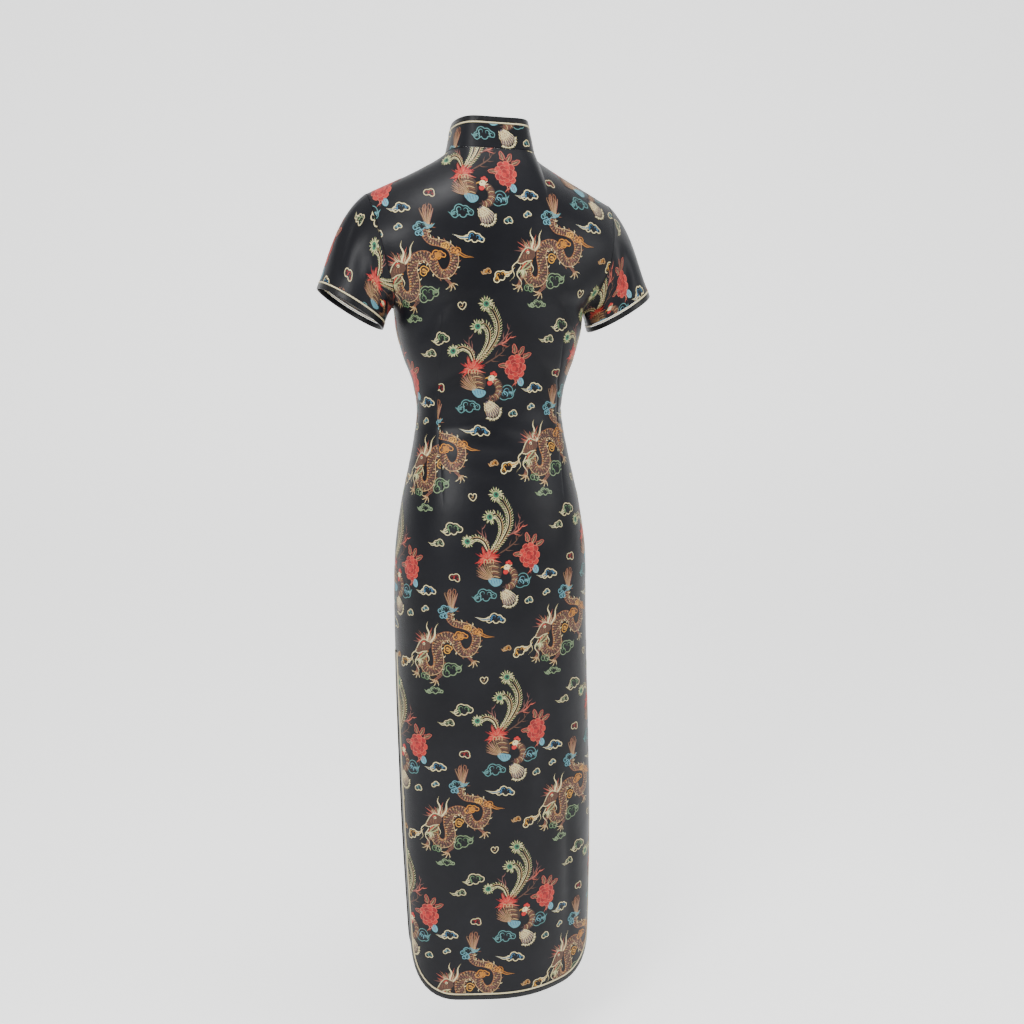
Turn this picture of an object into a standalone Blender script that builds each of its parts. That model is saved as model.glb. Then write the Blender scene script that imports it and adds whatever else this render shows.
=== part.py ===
"""A cheongsam, worn and hollow: a close-fitting long dress with a stand collar, short set-in sleeves,
a curved front flap that closes on the wearer's right with knotted frogs, and a slit up each side.

Metres, +Z up. The wearer faces -Y and their left is +X. The origin is the middle of the neck's base,
level with the back of the neck seam, where the shoulders carry the dress.

Each piece is a cloth wall over a surface. The body's surface is given by an angle round its section,
0 at the middle of the back or front and a quarter turn at the side seam, and by a height.
"""

import math
from functools import lru_cache
from typing import NamedTuple

import bmesh
import bpy
import numpy as np

# Cloth and edging
WALL = 0.0015
SEAM_GAP = 0.0003
FLAP_GAP = 0.0009
EDGING_GAP = 0.0005
BINDING_WIDTH = 0.008
BINDING_PROUD = 0.0004
PIPING_WIDTH = 0.002
PIPING_PROUD = 0.0009
EDGE_ROUNDING = 0.0002
PIPING_INSET = BINDING_WIDTH + EDGING_GAP
EDGING = PIPING_INSET + PIPING_WIDTH + EDGING_GAP

# Levels, below the neck's base
SHOULDER_TIP = -0.077
UNDERARM = -0.238
WAIST = -0.390
SLIT_TOP = -0.761
SLIT_TURN = 0.004
HEM = -1.315

# Neck and shoulders
NECK_HALF_WIDTH = 0.066
NECK_SIDE_DROP = 0.012
BACK_NECK_DROP = 0.0146
FRONT_NECK_DROP = 0.070
FRONT_NECK_ROUNDNESS = 0.9
NECK_RISE = 0.10
SHOULDER_HALF_WIDTH = 0.187
SHOULDER_BOW = 0.85
SHOULDER_ROUND = 0.090
FULLNESS = 0.18

# Skirt
SLIT_SPREAD = 0.030
HEM_CORNER = 0.080
SKIRT_WAVES = 5
SKIRT_WAVE_DEPTH = 0.0035
SKIRT_WAVE_START = -0.62
SKIRT_WAVE_SHIFT = 0.6

# Collar
COLLAR_BACK_HEIGHT = 0.047
COLLAR_FRONT_HEIGHT = 0.039
COLLAR_GAP = 0.0007
COLLAR_LEAN = 0.22
COLLAR_CORNER = 0.016
COLLAR_OPENING = 0.004
COLLAR_SPAN = 1.1 * math.pi

# Sleeves: the cuff is a tilted ellipse
CUFF_OUT = 0.2125
CUFF_FORWARD = 0.004
CUFF_LEVEL = -0.2425
CUFF_HALF_WIDTH = 0.056
CUFF_HALF_DEPTH = 0.060
CUFF_TILT = math.radians(31.8)
SLEEVE_SEAM_GAP = 0.0008
SLEEVE_START_RUN = (0.80, -0.45, -0.60)
SLEEVE_END_RUN = (0.36, 0.0, -0.93)
SLEEVE_FOLD_DEPTH = 0.004
SLEEVE_FOLD_TURN = 1.75
SLEEVE_FOLD_WIDTH = 0.22
SLEEVE_FOLD_MIDDLE = 0.38
SLEEVE_FOLD_LENGTH = 0.26

# Front flap
FLAP_EXTENSION = 0.030

# Frogs
FROG_COLLAR_REACH = 0.022
FROG_COLLAR_LEVEL = 0.020
FROG_HALF_WIDTH = 0.0031
FROG_HEIGHT = 0.0030
FROG_EDGE_SHARE = 0.35
FROG_CLEARANCE = PIPING_PROUD + 2 * SEAM_GAP
FROG_KNOT_RADIUS = 0.0048
FROG_KNOT_HEIGHT = 0.0070
FROG_KNOT_END = 0.92
FROG_LOOP_GAP = 0.0006

# Grid fineness
SHOULDER_COLUMNS = 4
NECK_COLUMNS = 12
PANEL_COLUMNS = 2 * SHOULDER_COLUMNS + NECK_COLUMNS
CORNER_ROWS = 5
SKIRT_ROWS = 8
HIP_ROWS = 8
BODICE_ROWS = 6
SIDE_ROWS = 5
UNDER_NECK_COLUMNS = 10
UNDER_TIP_CUT = 0.2
UNDER_LIFT = 4
ARMHOLE_ROWS = 10
SLEEVE_ROWS = 6
COLLAR_COLUMNS = 40
COLLAR_TURN = math.radians(150)
COLLAR_ROWS = 3
COLLAR_CORNER_ROWS = 4
FLAP_STEPS = SIDE_ROWS + ARMHOLE_ROWS
SLIT_STEPS = 8
HEM_STEPS = 14
FROG_STEPS = 6
RING_SAMPLES = 61
THREAD_SAMPLES = 41
CURVE_SAMPLES = 121
NUDGE = 1e-4
MERGE = 1e-6
SHARP_FROM = math.radians(40)
BELOW_HEM = 0.010


class Section(NamedTuple):
    """One level of the body: its half width and depths, and how far its middle leans to the side."""

    height: float
    half_width: float
    back: float
    front: float
    sway: float


SECTIONS = (
    Section(HEM - BELOW_HEM, 0.150, 0.096, 0.093, -0.010),
    Section(-1.000, 0.156, 0.101, 0.095, -0.006),
    Section(SLIT_TOP, 0.154, 0.111, 0.099, -0.001),
    Section(-0.700, 0.153, 0.116, 0.101, 0.0),
    Section(-0.620, 0.151, 0.119, 0.102, 0.0),
    Section(-0.540, 0.141, 0.110, 0.098, 0.0),
    Section(-0.480, 0.128, 0.094, 0.092, 0.0),
    Section(-0.430, 0.118, 0.081, 0.087, 0.0),
    Section(WAIST, 0.113, 0.076, 0.087, 0.0),
    Section(-0.350, 0.119, 0.081, 0.098, 0.0),
    Section(-0.310, 0.133, 0.089, 0.116, 0.0),
    Section(-0.270, 0.143, 0.097, 0.127, 0.0),
    Section(UNDERARM, 0.147, 0.101, 0.124, 0.0),
    Section(-0.210, 0.182, 0.103, 0.118, 0.0),
    Section(-0.169, 0.212, 0.103, 0.106, 0.0),
    Section(-0.128, 0.222, 0.098, 0.090, 0.0),
    Section(-0.080, 0.222, 0.088, 0.070, 0.0),
    Section(-0.040, 0.220, 0.074, 0.056, 0.0),
    Section(0.000, 0.215, 0.056, 0.045, 0.0),
    Section(0.020, 0.215, 0.050, 0.040, 0.0),
)


class ArmholePoint(NamedTuple):
    """A point of the armhole seam, seen from the back."""

    height: float
    half_width: float


ARMHOLE = (
    ArmholePoint(UNDERARM, 0.147),
    ArmholePoint(-0.210, 0.158),
    ArmholePoint(-0.169, 0.171),
    ArmholePoint(-0.128, 0.179),
    ArmholePoint(SHOULDER_TIP, SHOULDER_HALF_WIDTH),
)


class FlapPoint(NamedTuple):
    """A point of the flap's edge: the cloth's length from the middle of the front, and its height."""

    length: float
    height: float


FLAP_EDGE = (
    FlapPoint(0.000, -0.0700),
    FlapPoint(-0.016, -0.0960),
    FlapPoint(-0.053, -0.1220),
    FlapPoint(-0.106, -0.1550),
    FlapPoint(-0.162, -0.2180),
    FlapPoint(-0.212, -0.2950),
)


class Frog(NamedTuple):
    """A frog on the flap: its name, its place from the neck at 0 to the side seam at 1, its reach."""

    name: str
    along: float
    reach: float


FROGS = (Frog("frog_chest", 0.33, 0.030), Frog("frog_side", 0.64, 0.026))


class Finish(NamedTuple):
    """A material: its slot's name, colour and roughness."""

    slot: str
    colour: tuple
    roughness: float


BLACK_SATIN = Finish("black_satin", (0.012, 0.013, 0.018), 0.42)
BLACK_BINDING = Finish("black_binding", (0.009, 0.010, 0.012), 0.38)
CREAM_PIPING = Finish("cream_piping", (0.70, 0.64, 0.42), 0.45)
BLACK_CORD = Finish("black_cord", (0.010, 0.011, 0.013), 0.40)

BACK, FRONT = 1, -1
LEFT, RIGHT = 1, -1
QUARTER = math.pi / 2


def mix(a, b, share):
    """The point that lies the given share of the way from a to b."""
    return a + (b - a) * share


def ease(low, high, value):
    """0 up to low, 1 from high, and smooth between."""
    s = np.clip((value - low) / (high - low), 0.0, 1.0)
    return s * s * (3 - 2 * s)


def steps(*breaks_and_counts):
    """Values from break to break, given as break, count, break, count and so on to a last break."""
    found = [breaks_and_counts[0]]
    for count, high in zip(breaks_and_counts[1::2], breaks_and_counts[2::2]):
        found += list(np.linspace(found[-1], high, count + 1)[1:])
    return np.array(found)


def smooth_curve(places, values):
    """A curve through the points that never overshoots between them, for a place or an array."""
    places, values = np.asarray(places, float), np.asarray(values, float)
    widths = np.diff(places)
    slopes = np.diff(values) / widths
    tangents = np.concatenate((slopes[:1], np.zeros(len(places) - 2), slopes[-1:]))
    for i in range(1, len(places) - 1):
        if slopes[i - 1] * slopes[i] > 0:
            near = 2 * widths[i] + widths[i - 1]
            far = widths[i] + 2 * widths[i - 1]
            tangents[i] = (near + far) / (near / slopes[i - 1] + far / slopes[i])

    def at(place):
        place = np.clip(place, places[0], places[-1])
        i = np.minimum(np.searchsorted(places, place, side="right") - 1, len(widths) - 1)
        s = (place - places[i]) / widths[i]
        levels = values[i] * (1 + 2 * s) * (1 - s) ** 2 + values[i + 1] * s * s * (3 - 2 * s)
        return levels + widths[i] * (tangents[i] * s * (1 - s) ** 2 - tangents[i + 1] * s * s * (1 - s))

    return at


LEVELS = [row.height for row in SECTIONS]
half_width_at = smooth_curve(LEVELS, [row.half_width for row in SECTIONS])
back_at = smooth_curve(LEVELS, [row.back for row in SECTIONS])
front_at = smooth_curve(LEVELS, [row.front for row in SECTIONS])
sway_at = smooth_curve(LEVELS, [row.sway for row in SECTIONS])
armhole_at = smooth_curve([p.height for p in ARMHOLE], [p.half_width for p in ARMHOLE])


def ridge_height(x):
    """The height of the shoulder's top, and over the neck of the line that it would follow there."""
    out = np.abs(x)
    span = np.maximum(out - NECK_HALF_WIDTH, 0) / (SHOULDER_HALF_WIDTH - NECK_HALF_WIDTH)
    inside = np.maximum(1 - (out / NECK_HALF_WIDTH) ** 2, 0)
    slope = (SHOULDER_TIP + NECK_SIDE_DROP) * span**SHOULDER_BOW
    return -NECK_SIDE_DROP + slope + NECK_RISE * inside


def neckline_height(x, side):
    """The height of the neck seam at a place across."""
    inside = np.maximum(1 - (np.abs(x) / NECK_HALF_WIDTH) ** 2, 0)
    front = -NECK_SIDE_DROP - (FRONT_NECK_DROP - NECK_SIDE_DROP) * inside**FRONT_NECK_ROUNDNESS
    back = -NECK_SIDE_DROP - (BACK_NECK_DROP - NECK_SIDE_DROP) * inside
    return np.where(np.asarray(side) == BACK, back, front)


def body_point(side, angle, height):
    """The points of the body's outer surface at angles round its section and at heights."""
    side, angle, height = np.broadcast_arrays(side, angle, height)
    x = half_width_at(height) * np.sin(angle)
    depth = np.where(side == BACK, back_at(height), front_at(height))
    depth = depth * np.cos(angle) * (1 + FULLNESS * np.sin(angle) ** 2)
    below = np.clip((ridge_height(x) - height) / SHOULDER_ROUND, 0, 1)
    depth = depth * np.sqrt(1 - (1 - below) ** 2)
    turn = np.where(side == BACK, angle, math.pi - angle)
    reach = 1 - ease(HEM, SKIRT_WAVE_START, height)
    wave = SKIRT_WAVE_DEPTH * reach * np.cos(SKIRT_WAVES * turn + SKIRT_WAVE_SHIFT)
    x = x + wave * np.sin(angle) + sway_at(height)
    y = side * (depth + wave * np.cos(angle) + SEAM_GAP / 2)
    return np.stack((x, y, height), axis=-1)


@lru_cache(maxsize=None)
def ring_lengths(side, height):
    """Angles round half a section, and the cloth's length from the middle out to each."""
    angles = np.linspace(0, QUARTER, RING_SAMPLES)
    strides = np.linalg.norm(np.diff(body_point(side, angles, height), axis=0), axis=1)
    return angles, np.concatenate(((0.0,), np.cumsum(strides)))


def angle_at(side, length, height):
    """The angles at which the cloth has given lengths from the middle, with their signs."""
    length, height = np.broadcast_arrays(np.asarray(length, float), np.asarray(height, float))
    found = np.empty(length.shape)
    for level in np.unique(height):
        angles, lengths = ring_lengths(side, float(level))
        chosen = height == level
        found[chosen] = np.interp(np.abs(length[chosen]), lengths, angles)
    return np.copysign(found, length)


def side_length(side, heights):
    """The cloth's length from the middle to the side line at each height."""
    return np.array([ring_lengths(side, float(level))[1][-1] for level in heights])


def armhole_angle(height):
    """The angle of the armhole seam, or of the side seam below it."""
    ratio = np.minimum(armhole_at(height) / half_width_at(height), 1.0)
    return np.where(height <= UNDERARM, QUARTER, np.arcsin(ratio))


def skirt_line(side, inset):
    """A slit's and the hem's edge as lengths and heights, moved in by an inset, right slit to left."""
    radius = HEM_CORNER - inset
    straight = steps(SLIT_TOP - SLIT_TURN - SEAM_GAP, SLIT_STEPS, HEM + HEM_CORNER)
    turns = np.linspace(0, QUARTER, CORNER_ROWS + 1)[1:]
    heights = np.concatenate((straight, HEM + HEM_CORNER - radius * np.sin(turns)))
    spread = SLIT_SPREAD * (SLIT_TOP - heights) / (SLIT_TOP - HEM)
    lengths = side_length(side, heights) - spread
    lengths[: len(straight)] -= inset
    lengths[len(straight) :] += radius * np.cos(turns) - HEM_CORNER
    hem = np.linspace(-lengths[-1], lengths[-1], HEM_STEPS + 1)[1:-1]
    lengths = np.concatenate((-lengths, hem, lengths[::-1]))
    return lengths, np.concatenate((heights, np.full(len(hem), heights[-1]), heights[::-1]))


def flap_curve():
    """The flap's edge from the side seam to the neck, and the direction in which it runs."""
    places = np.arange(len(FLAP_EDGE))
    length_at = smooth_curve(places, [p.length for p in FLAP_EDGE])
    height_at = smooth_curve(places, [p.height for p in FLAP_EDGE])
    along = np.linspace(places[-1], 0, CURVE_SAMPLES)
    line = np.column_stack((length_at(along), height_at(along)))
    run = np.gradient(line, axis=0)
    return line, run / np.linalg.norm(run, axis=1)[:, None]


def flap_line(inset, count):
    """The flap's edge moved into the flap by an inset, cut off at the side seam and the neck seam."""
    line, run = flap_curve()
    line = line + inset * np.column_stack((run[:, 1], -run[:, 0]))
    line = np.vstack((line[0] - FLAP_EXTENSION * run[0], line, line[-1] + FLAP_EXTENSION * run[-1]))
    reach = np.concatenate(((0.0,), np.cumsum(np.linalg.norm(np.diff(line, axis=0), axis=1))))
    low, high = np.split(np.linspace(0, reach[-1], CURVE_SAMPLES * 4), 2)
    before_side = np.interp(low, reach, line[:, 0]) + side_length(FRONT, np.interp(low, reach, line[:, 1]))
    over_neck = np.interp(high, reach, line[:, 1])
    over_neck = over_neck - neckline_height(np.interp(high, reach, line[:, 0]), FRONT)
    chosen = np.linspace(np.interp(0, before_side, low), np.interp(0, over_neck, high), count + 1)
    return np.interp(chosen, reach, line[:, 0]), np.interp(chosen, reach, line[:, 1])


def unit(vectors):
    """The vectors, each one unit long."""
    return vectors / np.linalg.norm(vectors, axis=-1, keepdims=True)


def body_normals(side, angle, height):
    """The outward unit normals of the body's surface, square to the side and shoulder seams on them."""
    along = body_point(side, angle + NUDGE, height) - body_point(side, angle - NUDGE, height)
    up = body_point(side, angle, height) - body_point(side, angle, height - NUDGE)
    normals = -side * np.cross(along, up)
    normals[np.abs(body_point(side, angle, height)[..., 1]) <= SEAM_GAP, 1] = 0.0
    return unit(normals)


def grid_normals(points, closed=False):
    """The unit normals of a grid of points, whose columns run to the right as seen from outside."""
    if closed:
        ring = np.concatenate((points[:, -2:-1], points, points[:, 1:2]), axis=1)
        along = np.gradient(ring, axis=1)[:, 1:-1]
    else:
        along = np.gradient(points, axis=1)
    return unit(np.cross(along, np.gradient(points, axis=0)))


def material(finish):
    """The Principled material of a finish, made once."""
    found = bpy.data.materials.get(finish.slot) or bpy.data.materials.new(finish.slot)
    found.use_nodes = True
    shader = found.node_tree.nodes["Principled BSDF"]
    shader.inputs["Base Color"].default_value = (*finish.colour, 1.0)
    shader.inputs["Roughness"].default_value = finish.roughness
    return found


def wall(name, points, normals, finish, outer=0.0, inner=-WALL, closed=False):
    """A cloth wall over a grid of points with outward normals.

    outer and inner say how far each face stands out from the points. closed joins the last column to
    the first.
    """
    rows, columns = points.shape[:2]
    outs = [np.broadcast_to(out, (rows, columns))[..., None] for out in (outer, inner)]
    outside, inside = ((points + normals * out).reshape(-1, 3) for out in outs)
    bm = bmesh.new()
    bmesh.ops.create_grid(bm, x_segments=columns - 1, y_segments=rows - 1, size=0.5)
    place = bm.verts.layers.int.new("place")
    for i, vert in enumerate(bm.verts):
        vert[place] = i
        vert.co = outside[i]
    if closed:
        bmesh.ops.remove_doubles(bm, verts=bm.verts, dist=MERGE)
    made = bmesh.ops.extrude_face_region(bm, geom=bm.faces[:], use_keep_orig=True)
    for vert in (item for item in made["geom"] if isinstance(item, bmesh.types.BMVert)):
        vert.co = inside[vert[place]]
    bmesh.ops.recalc_face_normals(bm, faces=bm.faces)
    mesh = bpy.data.meshes.new(name)
    bm.to_mesh(mesh)
    bm.free()
    mesh.materials.append(material(finish))
    mesh.shade_smooth()
    mesh.set_sharp_from_angle(angle=SHARP_FROM)
    bpy.context.scene.collection.objects.link(bpy.data.objects.new(name, mesh))


def body_wall(name, side, angles, heights, finish=BLACK_SATIN, **faces):
    """A cloth wall on the body over a grid of angles and heights."""
    points, normals = body_point(side, angles, heights), body_normals(side, angles, heights)
    wall(name, points, normals, finish, **faces)


def patch(bottom, top, right, left, lift=1):
    """Fills four edges, each an array of angles and heights; right and left run from the bottom up.

    The rows take on the top's shape as the power lift of their share of the way up.
    """
    u = np.linspace(0, 1, len(bottom))[None, :, None]
    risen = np.linspace(0, 1, len(right))[:, None, None] ** lift
    bottom, top = (edge - mix(edge[0], edge[-1], u) for edge in (bottom, top))
    return mix(right[:, None], left[:, None], u) + mix(bottom, top, risen)


def side_edge(hand, start, rows=0):
    """The side seam from a height up to the underarm in some rows, and the armhole above it."""
    rise = (1 - np.cos(np.linspace(0, math.pi, ARMHOLE_ROWS + 1))) / 2
    side = np.linspace(start, UNDERARM, rows + 1)[:-1]
    heights = np.concatenate((side, mix(UNDERARM, SHOULDER_TIP, rise)))
    return np.column_stack((hand * armhole_angle(heights), heights))


def top_edge(side, across):
    """The shoulder seam and the neck seam at places across."""
    shoulder = np.abs(across) >= NECK_HALF_WIDTH
    heights = np.where(shoulder, ridge_height(across), neckline_height(across, side))
    return np.column_stack((np.arcsin(across / half_width_at(heights)), heights))


def skirt_grid(side, top):
    """The angles and heights of a panel's straight rows, from just above the hem's edging to a top."""
    radius = HEM_CORNER - EDGING
    turns = np.linspace(0, QUARTER, CORNER_ROWS + 1)
    corner = HEM + EDGING + radius * (1 - np.cos(turns))
    skirt = steps(corner[-1], SKIRT_ROWS, SLIT_TOP - SLIT_TURN)
    body = steps(SLIT_TOP, HIP_ROWS, WAIST, BODICE_ROWS, top)
    heights = np.concatenate((corner, skirt[1:], body))
    slit = heights < SLIT_TOP
    inset = np.where(slit, EDGING + SLIT_SPREAD * (SLIT_TOP - heights) / (SLIT_TOP - HEM), 0)
    inset[: len(turns)] += radius * (1 - np.sin(turns))
    edges = np.where(slit, angle_at(side, side_length(side, heights) - inset, heights), QUARTER)
    across = np.linspace(-1, 1, PANEL_COLUMNS + 1)
    return np.dstack((edges[:, None] * across, np.repeat(heights[:, None], len(across), axis=1)))


def neck_places(start, end, count):
    """Places across the neck seam from one to another, close together at the neck's sides."""
    turns = np.arcsin(np.clip(np.array((start, end)) / NECK_HALF_WIDTH, -1, 1))
    return NECK_HALF_WIDTH * np.sin(np.linspace(*turns, count + 1))


def build_back():
    """The back, one piece from hem to shoulders."""
    skirt = skirt_grid(BACK, UNDERARM)
    shoulder = np.linspace(SHOULDER_HALF_WIDTH, NECK_HALF_WIDTH, SHOULDER_COLUMNS + 1)[:-1]
    neck = neck_places(-NECK_HALF_WIDTH, NECK_HALF_WIDTH, NECK_COLUMNS)
    across = np.concatenate((-shoulder, neck, shoulder[::-1]))
    right, left = side_edge(RIGHT, UNDERARM), side_edge(LEFT, UNDERARM)
    yoke = patch(skirt[-1], top_edge(BACK, across), right, left)
    body_wall("back_panel", BACK, *np.moveaxis(np.concatenate((skirt[:-1], yoke)), -1, 0))


def flap_edge(inset, count):
    """The flap's line at an inset as angles and heights."""
    lengths, heights = flap_line(inset, count)
    return np.column_stack((angle_at(FRONT, lengths, heights), heights))


def across_at(point):
    """The place across of a point given as an angle and a height."""
    return half_width_at(point[1]) * math.sin(point[0])


def build_front():
    """The front, from the hem to the left shoulder and to the flap's edge."""
    right = flap_edge(EDGING, FLAP_STEPS)
    skirt = skirt_grid(FRONT, right[0, 1])
    half = PANEL_COLUMNS // 2
    shoulder = np.linspace(NECK_HALF_WIDTH, SHOULDER_HALF_WIDTH, half + 1)[1:]
    across = np.concatenate((neck_places(across_at(right[-1]), NECK_HALF_WIDTH, half), shoulder))
    yoke = patch(skirt[-1], top_edge(FRONT, across), right, side_edge(LEFT, right[0, 1], SIDE_ROWS))
    body_wall("front_panel", FRONT, *np.moveaxis(np.concatenate((skirt[:-1], yoke)), -1, 0))


def build_under_front():
    """The piece over the right of the chest, which meets the flap's edge; its lowest tip is cut off."""
    flap = flap_edge(-FLAP_GAP, CURVE_SAMPLES)
    armhole = side_edge(RIGHT, flap[0, 1], SIDE_ROWS)
    rise = (armhole[:, 1] - armhole[0, 1]) / (armhole[-1, 1] - armhole[0, 1])
    heights = mix(flap[0, 1], flap[-1, 1], rise)
    inner = np.column_stack((np.interp(heights, flap[:, 1], flap[:, 0]), heights))
    for edge in (inner, armhole):
        edge[0] = mix(edge[0], edge[1], UNDER_TIP_CUT)
    shoulder = np.linspace(-SHOULDER_HALF_WIDTH, -NECK_HALF_WIDTH, SHOULDER_COLUMNS + 1)[:-1]
    neck = neck_places(-NECK_HALF_WIDTH, across_at(flap[-1]), UNDER_NECK_COLUMNS)
    top = top_edge(FRONT, np.concatenate((shoulder, neck)))
    bottom = mix(armhole[0], inner[0], np.linspace(0, 1, len(top))[:, None])
    yoke = patch(bottom, top, armhole, inner, UNDER_LIFT)
    body_wall("under_front", FRONT, *np.moveaxis(yoke, -1, 0))


class Strip(NamedTuple):
    """An edging strip's section: insets across it, and how far its faces stand out at each."""

    suffix: str
    finish: Finish
    insets: tuple
    outer: tuple
    inner: tuple


STRIPS = (
    Strip(
        "binding", BLACK_BINDING, (0.0, BINDING_WIDTH / 2, BINDING_WIDTH),
        (EDGE_ROUNDING, BINDING_PROUD, EDGE_ROUNDING), (-WALL, -WALL - BINDING_PROUD, -WALL),
    ),
    Strip(
        "piping", CREAM_PIPING,
        (PIPING_INSET, PIPING_INSET + PIPING_WIDTH / 2, PIPING_INSET + PIPING_WIDTH),
        (EDGE_ROUNDING, PIPING_PROUD, EDGE_ROUNDING), (-WALL, -WALL, -WALL),
    ),
)


def faces(strip):
    """How far a strip's faces stand out, as columns for its grid."""
    return {"outer": np.array(strip.outer)[:, None], "inner": np.array(strip.inner)[:, None]}


def edging(name, line_at, closed=False):
    """The binding and the piping along an edge; line_at gives the points and normals at an inset."""
    for strip in STRIPS:
        points, normals = (np.array(grid) for grid in zip(*(line_at(inset) for inset in strip.insets)))
        wall(f"{name}_{strip.suffix}", points, normals, strip.finish, closed=closed, **faces(strip))


def body_edging(name, side, line):
    """The edging along a line on the body, from a function that gives it as lengths and heights."""

    def line_at(inset):
        lengths, heights = line(inset)
        angles = angle_at(side, lengths, heights)
        return body_point(side, angles, heights), body_normals(side, angles, heights)

    edging(name, line_at)


def sleeve_threads(hand):
    """The sleeve's lengthwise threads from the armhole to the cuff, and the cloth's length along each.

    They start at the underarm and go round by the back on the left sleeve and by the front on the
    right, so that both grids face out.
    """
    turns = hand * np.linspace(0, 2 * math.pi, 2 * ARMHOLE_ROWS + 1)
    side = np.where(np.sin(turns) >= 0, BACK, FRONT)
    heights = mix(UNDERARM, SHOULDER_TIP, (1 - np.cos(turns)) / 2)
    start = body_point(side, hand * armhole_angle(heights), heights)
    start[:, 1] -= side * SEAM_GAP / 2
    start[:, 0] += hand * SLEEVE_SEAM_GAP
    along = np.array((hand * math.cos(CUFF_TILT), 0.0, math.sin(CUFF_TILT)))
    middle = np.array((hand * CUFF_OUT, -CUFF_FORWARD, CUFF_LEVEL))
    end = middle - CUFF_HALF_WIDTH * np.cos(turns)[:, None] * along
    end[:, 1] += CUFF_HALF_DEPTH * np.sin(turns)
    reach = np.linalg.norm(end - start, axis=1)[:, None]
    start_run = np.tile(np.array(SLEEVE_START_RUN) * (hand, 1, 1), (len(turns), 1))
    start_run[:, 1] *= np.sin(turns)
    end_run = np.array(SLEEVE_END_RUN) * (hand, 1, 1)
    t = np.linspace(0, 1, THREAD_SAMPLES)[:, None, None]
    threads = start * (1 + 2 * t) * (1 - t) ** 2 + end * t * t * (3 - 2 * t)
    threads = threads + reach * (start_run * t * (1 - t) ** 2 - end_run * t * t * (1 - t))
    from_fold = (np.abs((turns + math.pi) % (2 * math.pi) - math.pi) - SLEEVE_FOLD_TURN) / SLEEVE_FOLD_WIDTH
    down = (t[..., 0] - SLEEVE_FOLD_MIDDLE) / SLEEVE_FOLD_LENGTH
    fold = SLEEVE_FOLD_DEPTH * np.exp(-(from_fold**2) - down**2) * (np.sin(turns) > 0)
    threads = threads - grid_normals(threads, closed=True) * fold[..., None]
    strides = np.linalg.norm(np.diff(threads, axis=0), axis=2)
    return threads, np.concatenate((np.zeros((1, len(turns))), np.cumsum(strides, axis=0)))


def build_sleeve(name, hand):
    """A sleeve from the armhole to the cuff, and its edging."""
    threads, lengths = sleeve_threads(hand)
    grids = threads, grid_normals(threads, closed=True)

    def ring_at(inset, share=1.0):
        wanted = share * (lengths[-1] - inset)

        def look_up(grid):
            columns = zip(wanted, lengths.T, np.moveaxis(grid, 1, 0))
            return np.array([[np.interp(w, reach, axis) for axis in line.T] for w, reach, line in columns])

        points, normals = (look_up(grid) for grid in grids)
        return points, unit(normals)

    rows = zip(*(ring_at(EDGING, share) for share in steps(0, SLEEVE_ROWS, 1)))
    points, normals = (np.array(row) for row in rows)
    wall(name, points, normals, BLACK_SATIN, closed=True)
    edging(name, ring_at, closed=True)


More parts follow.
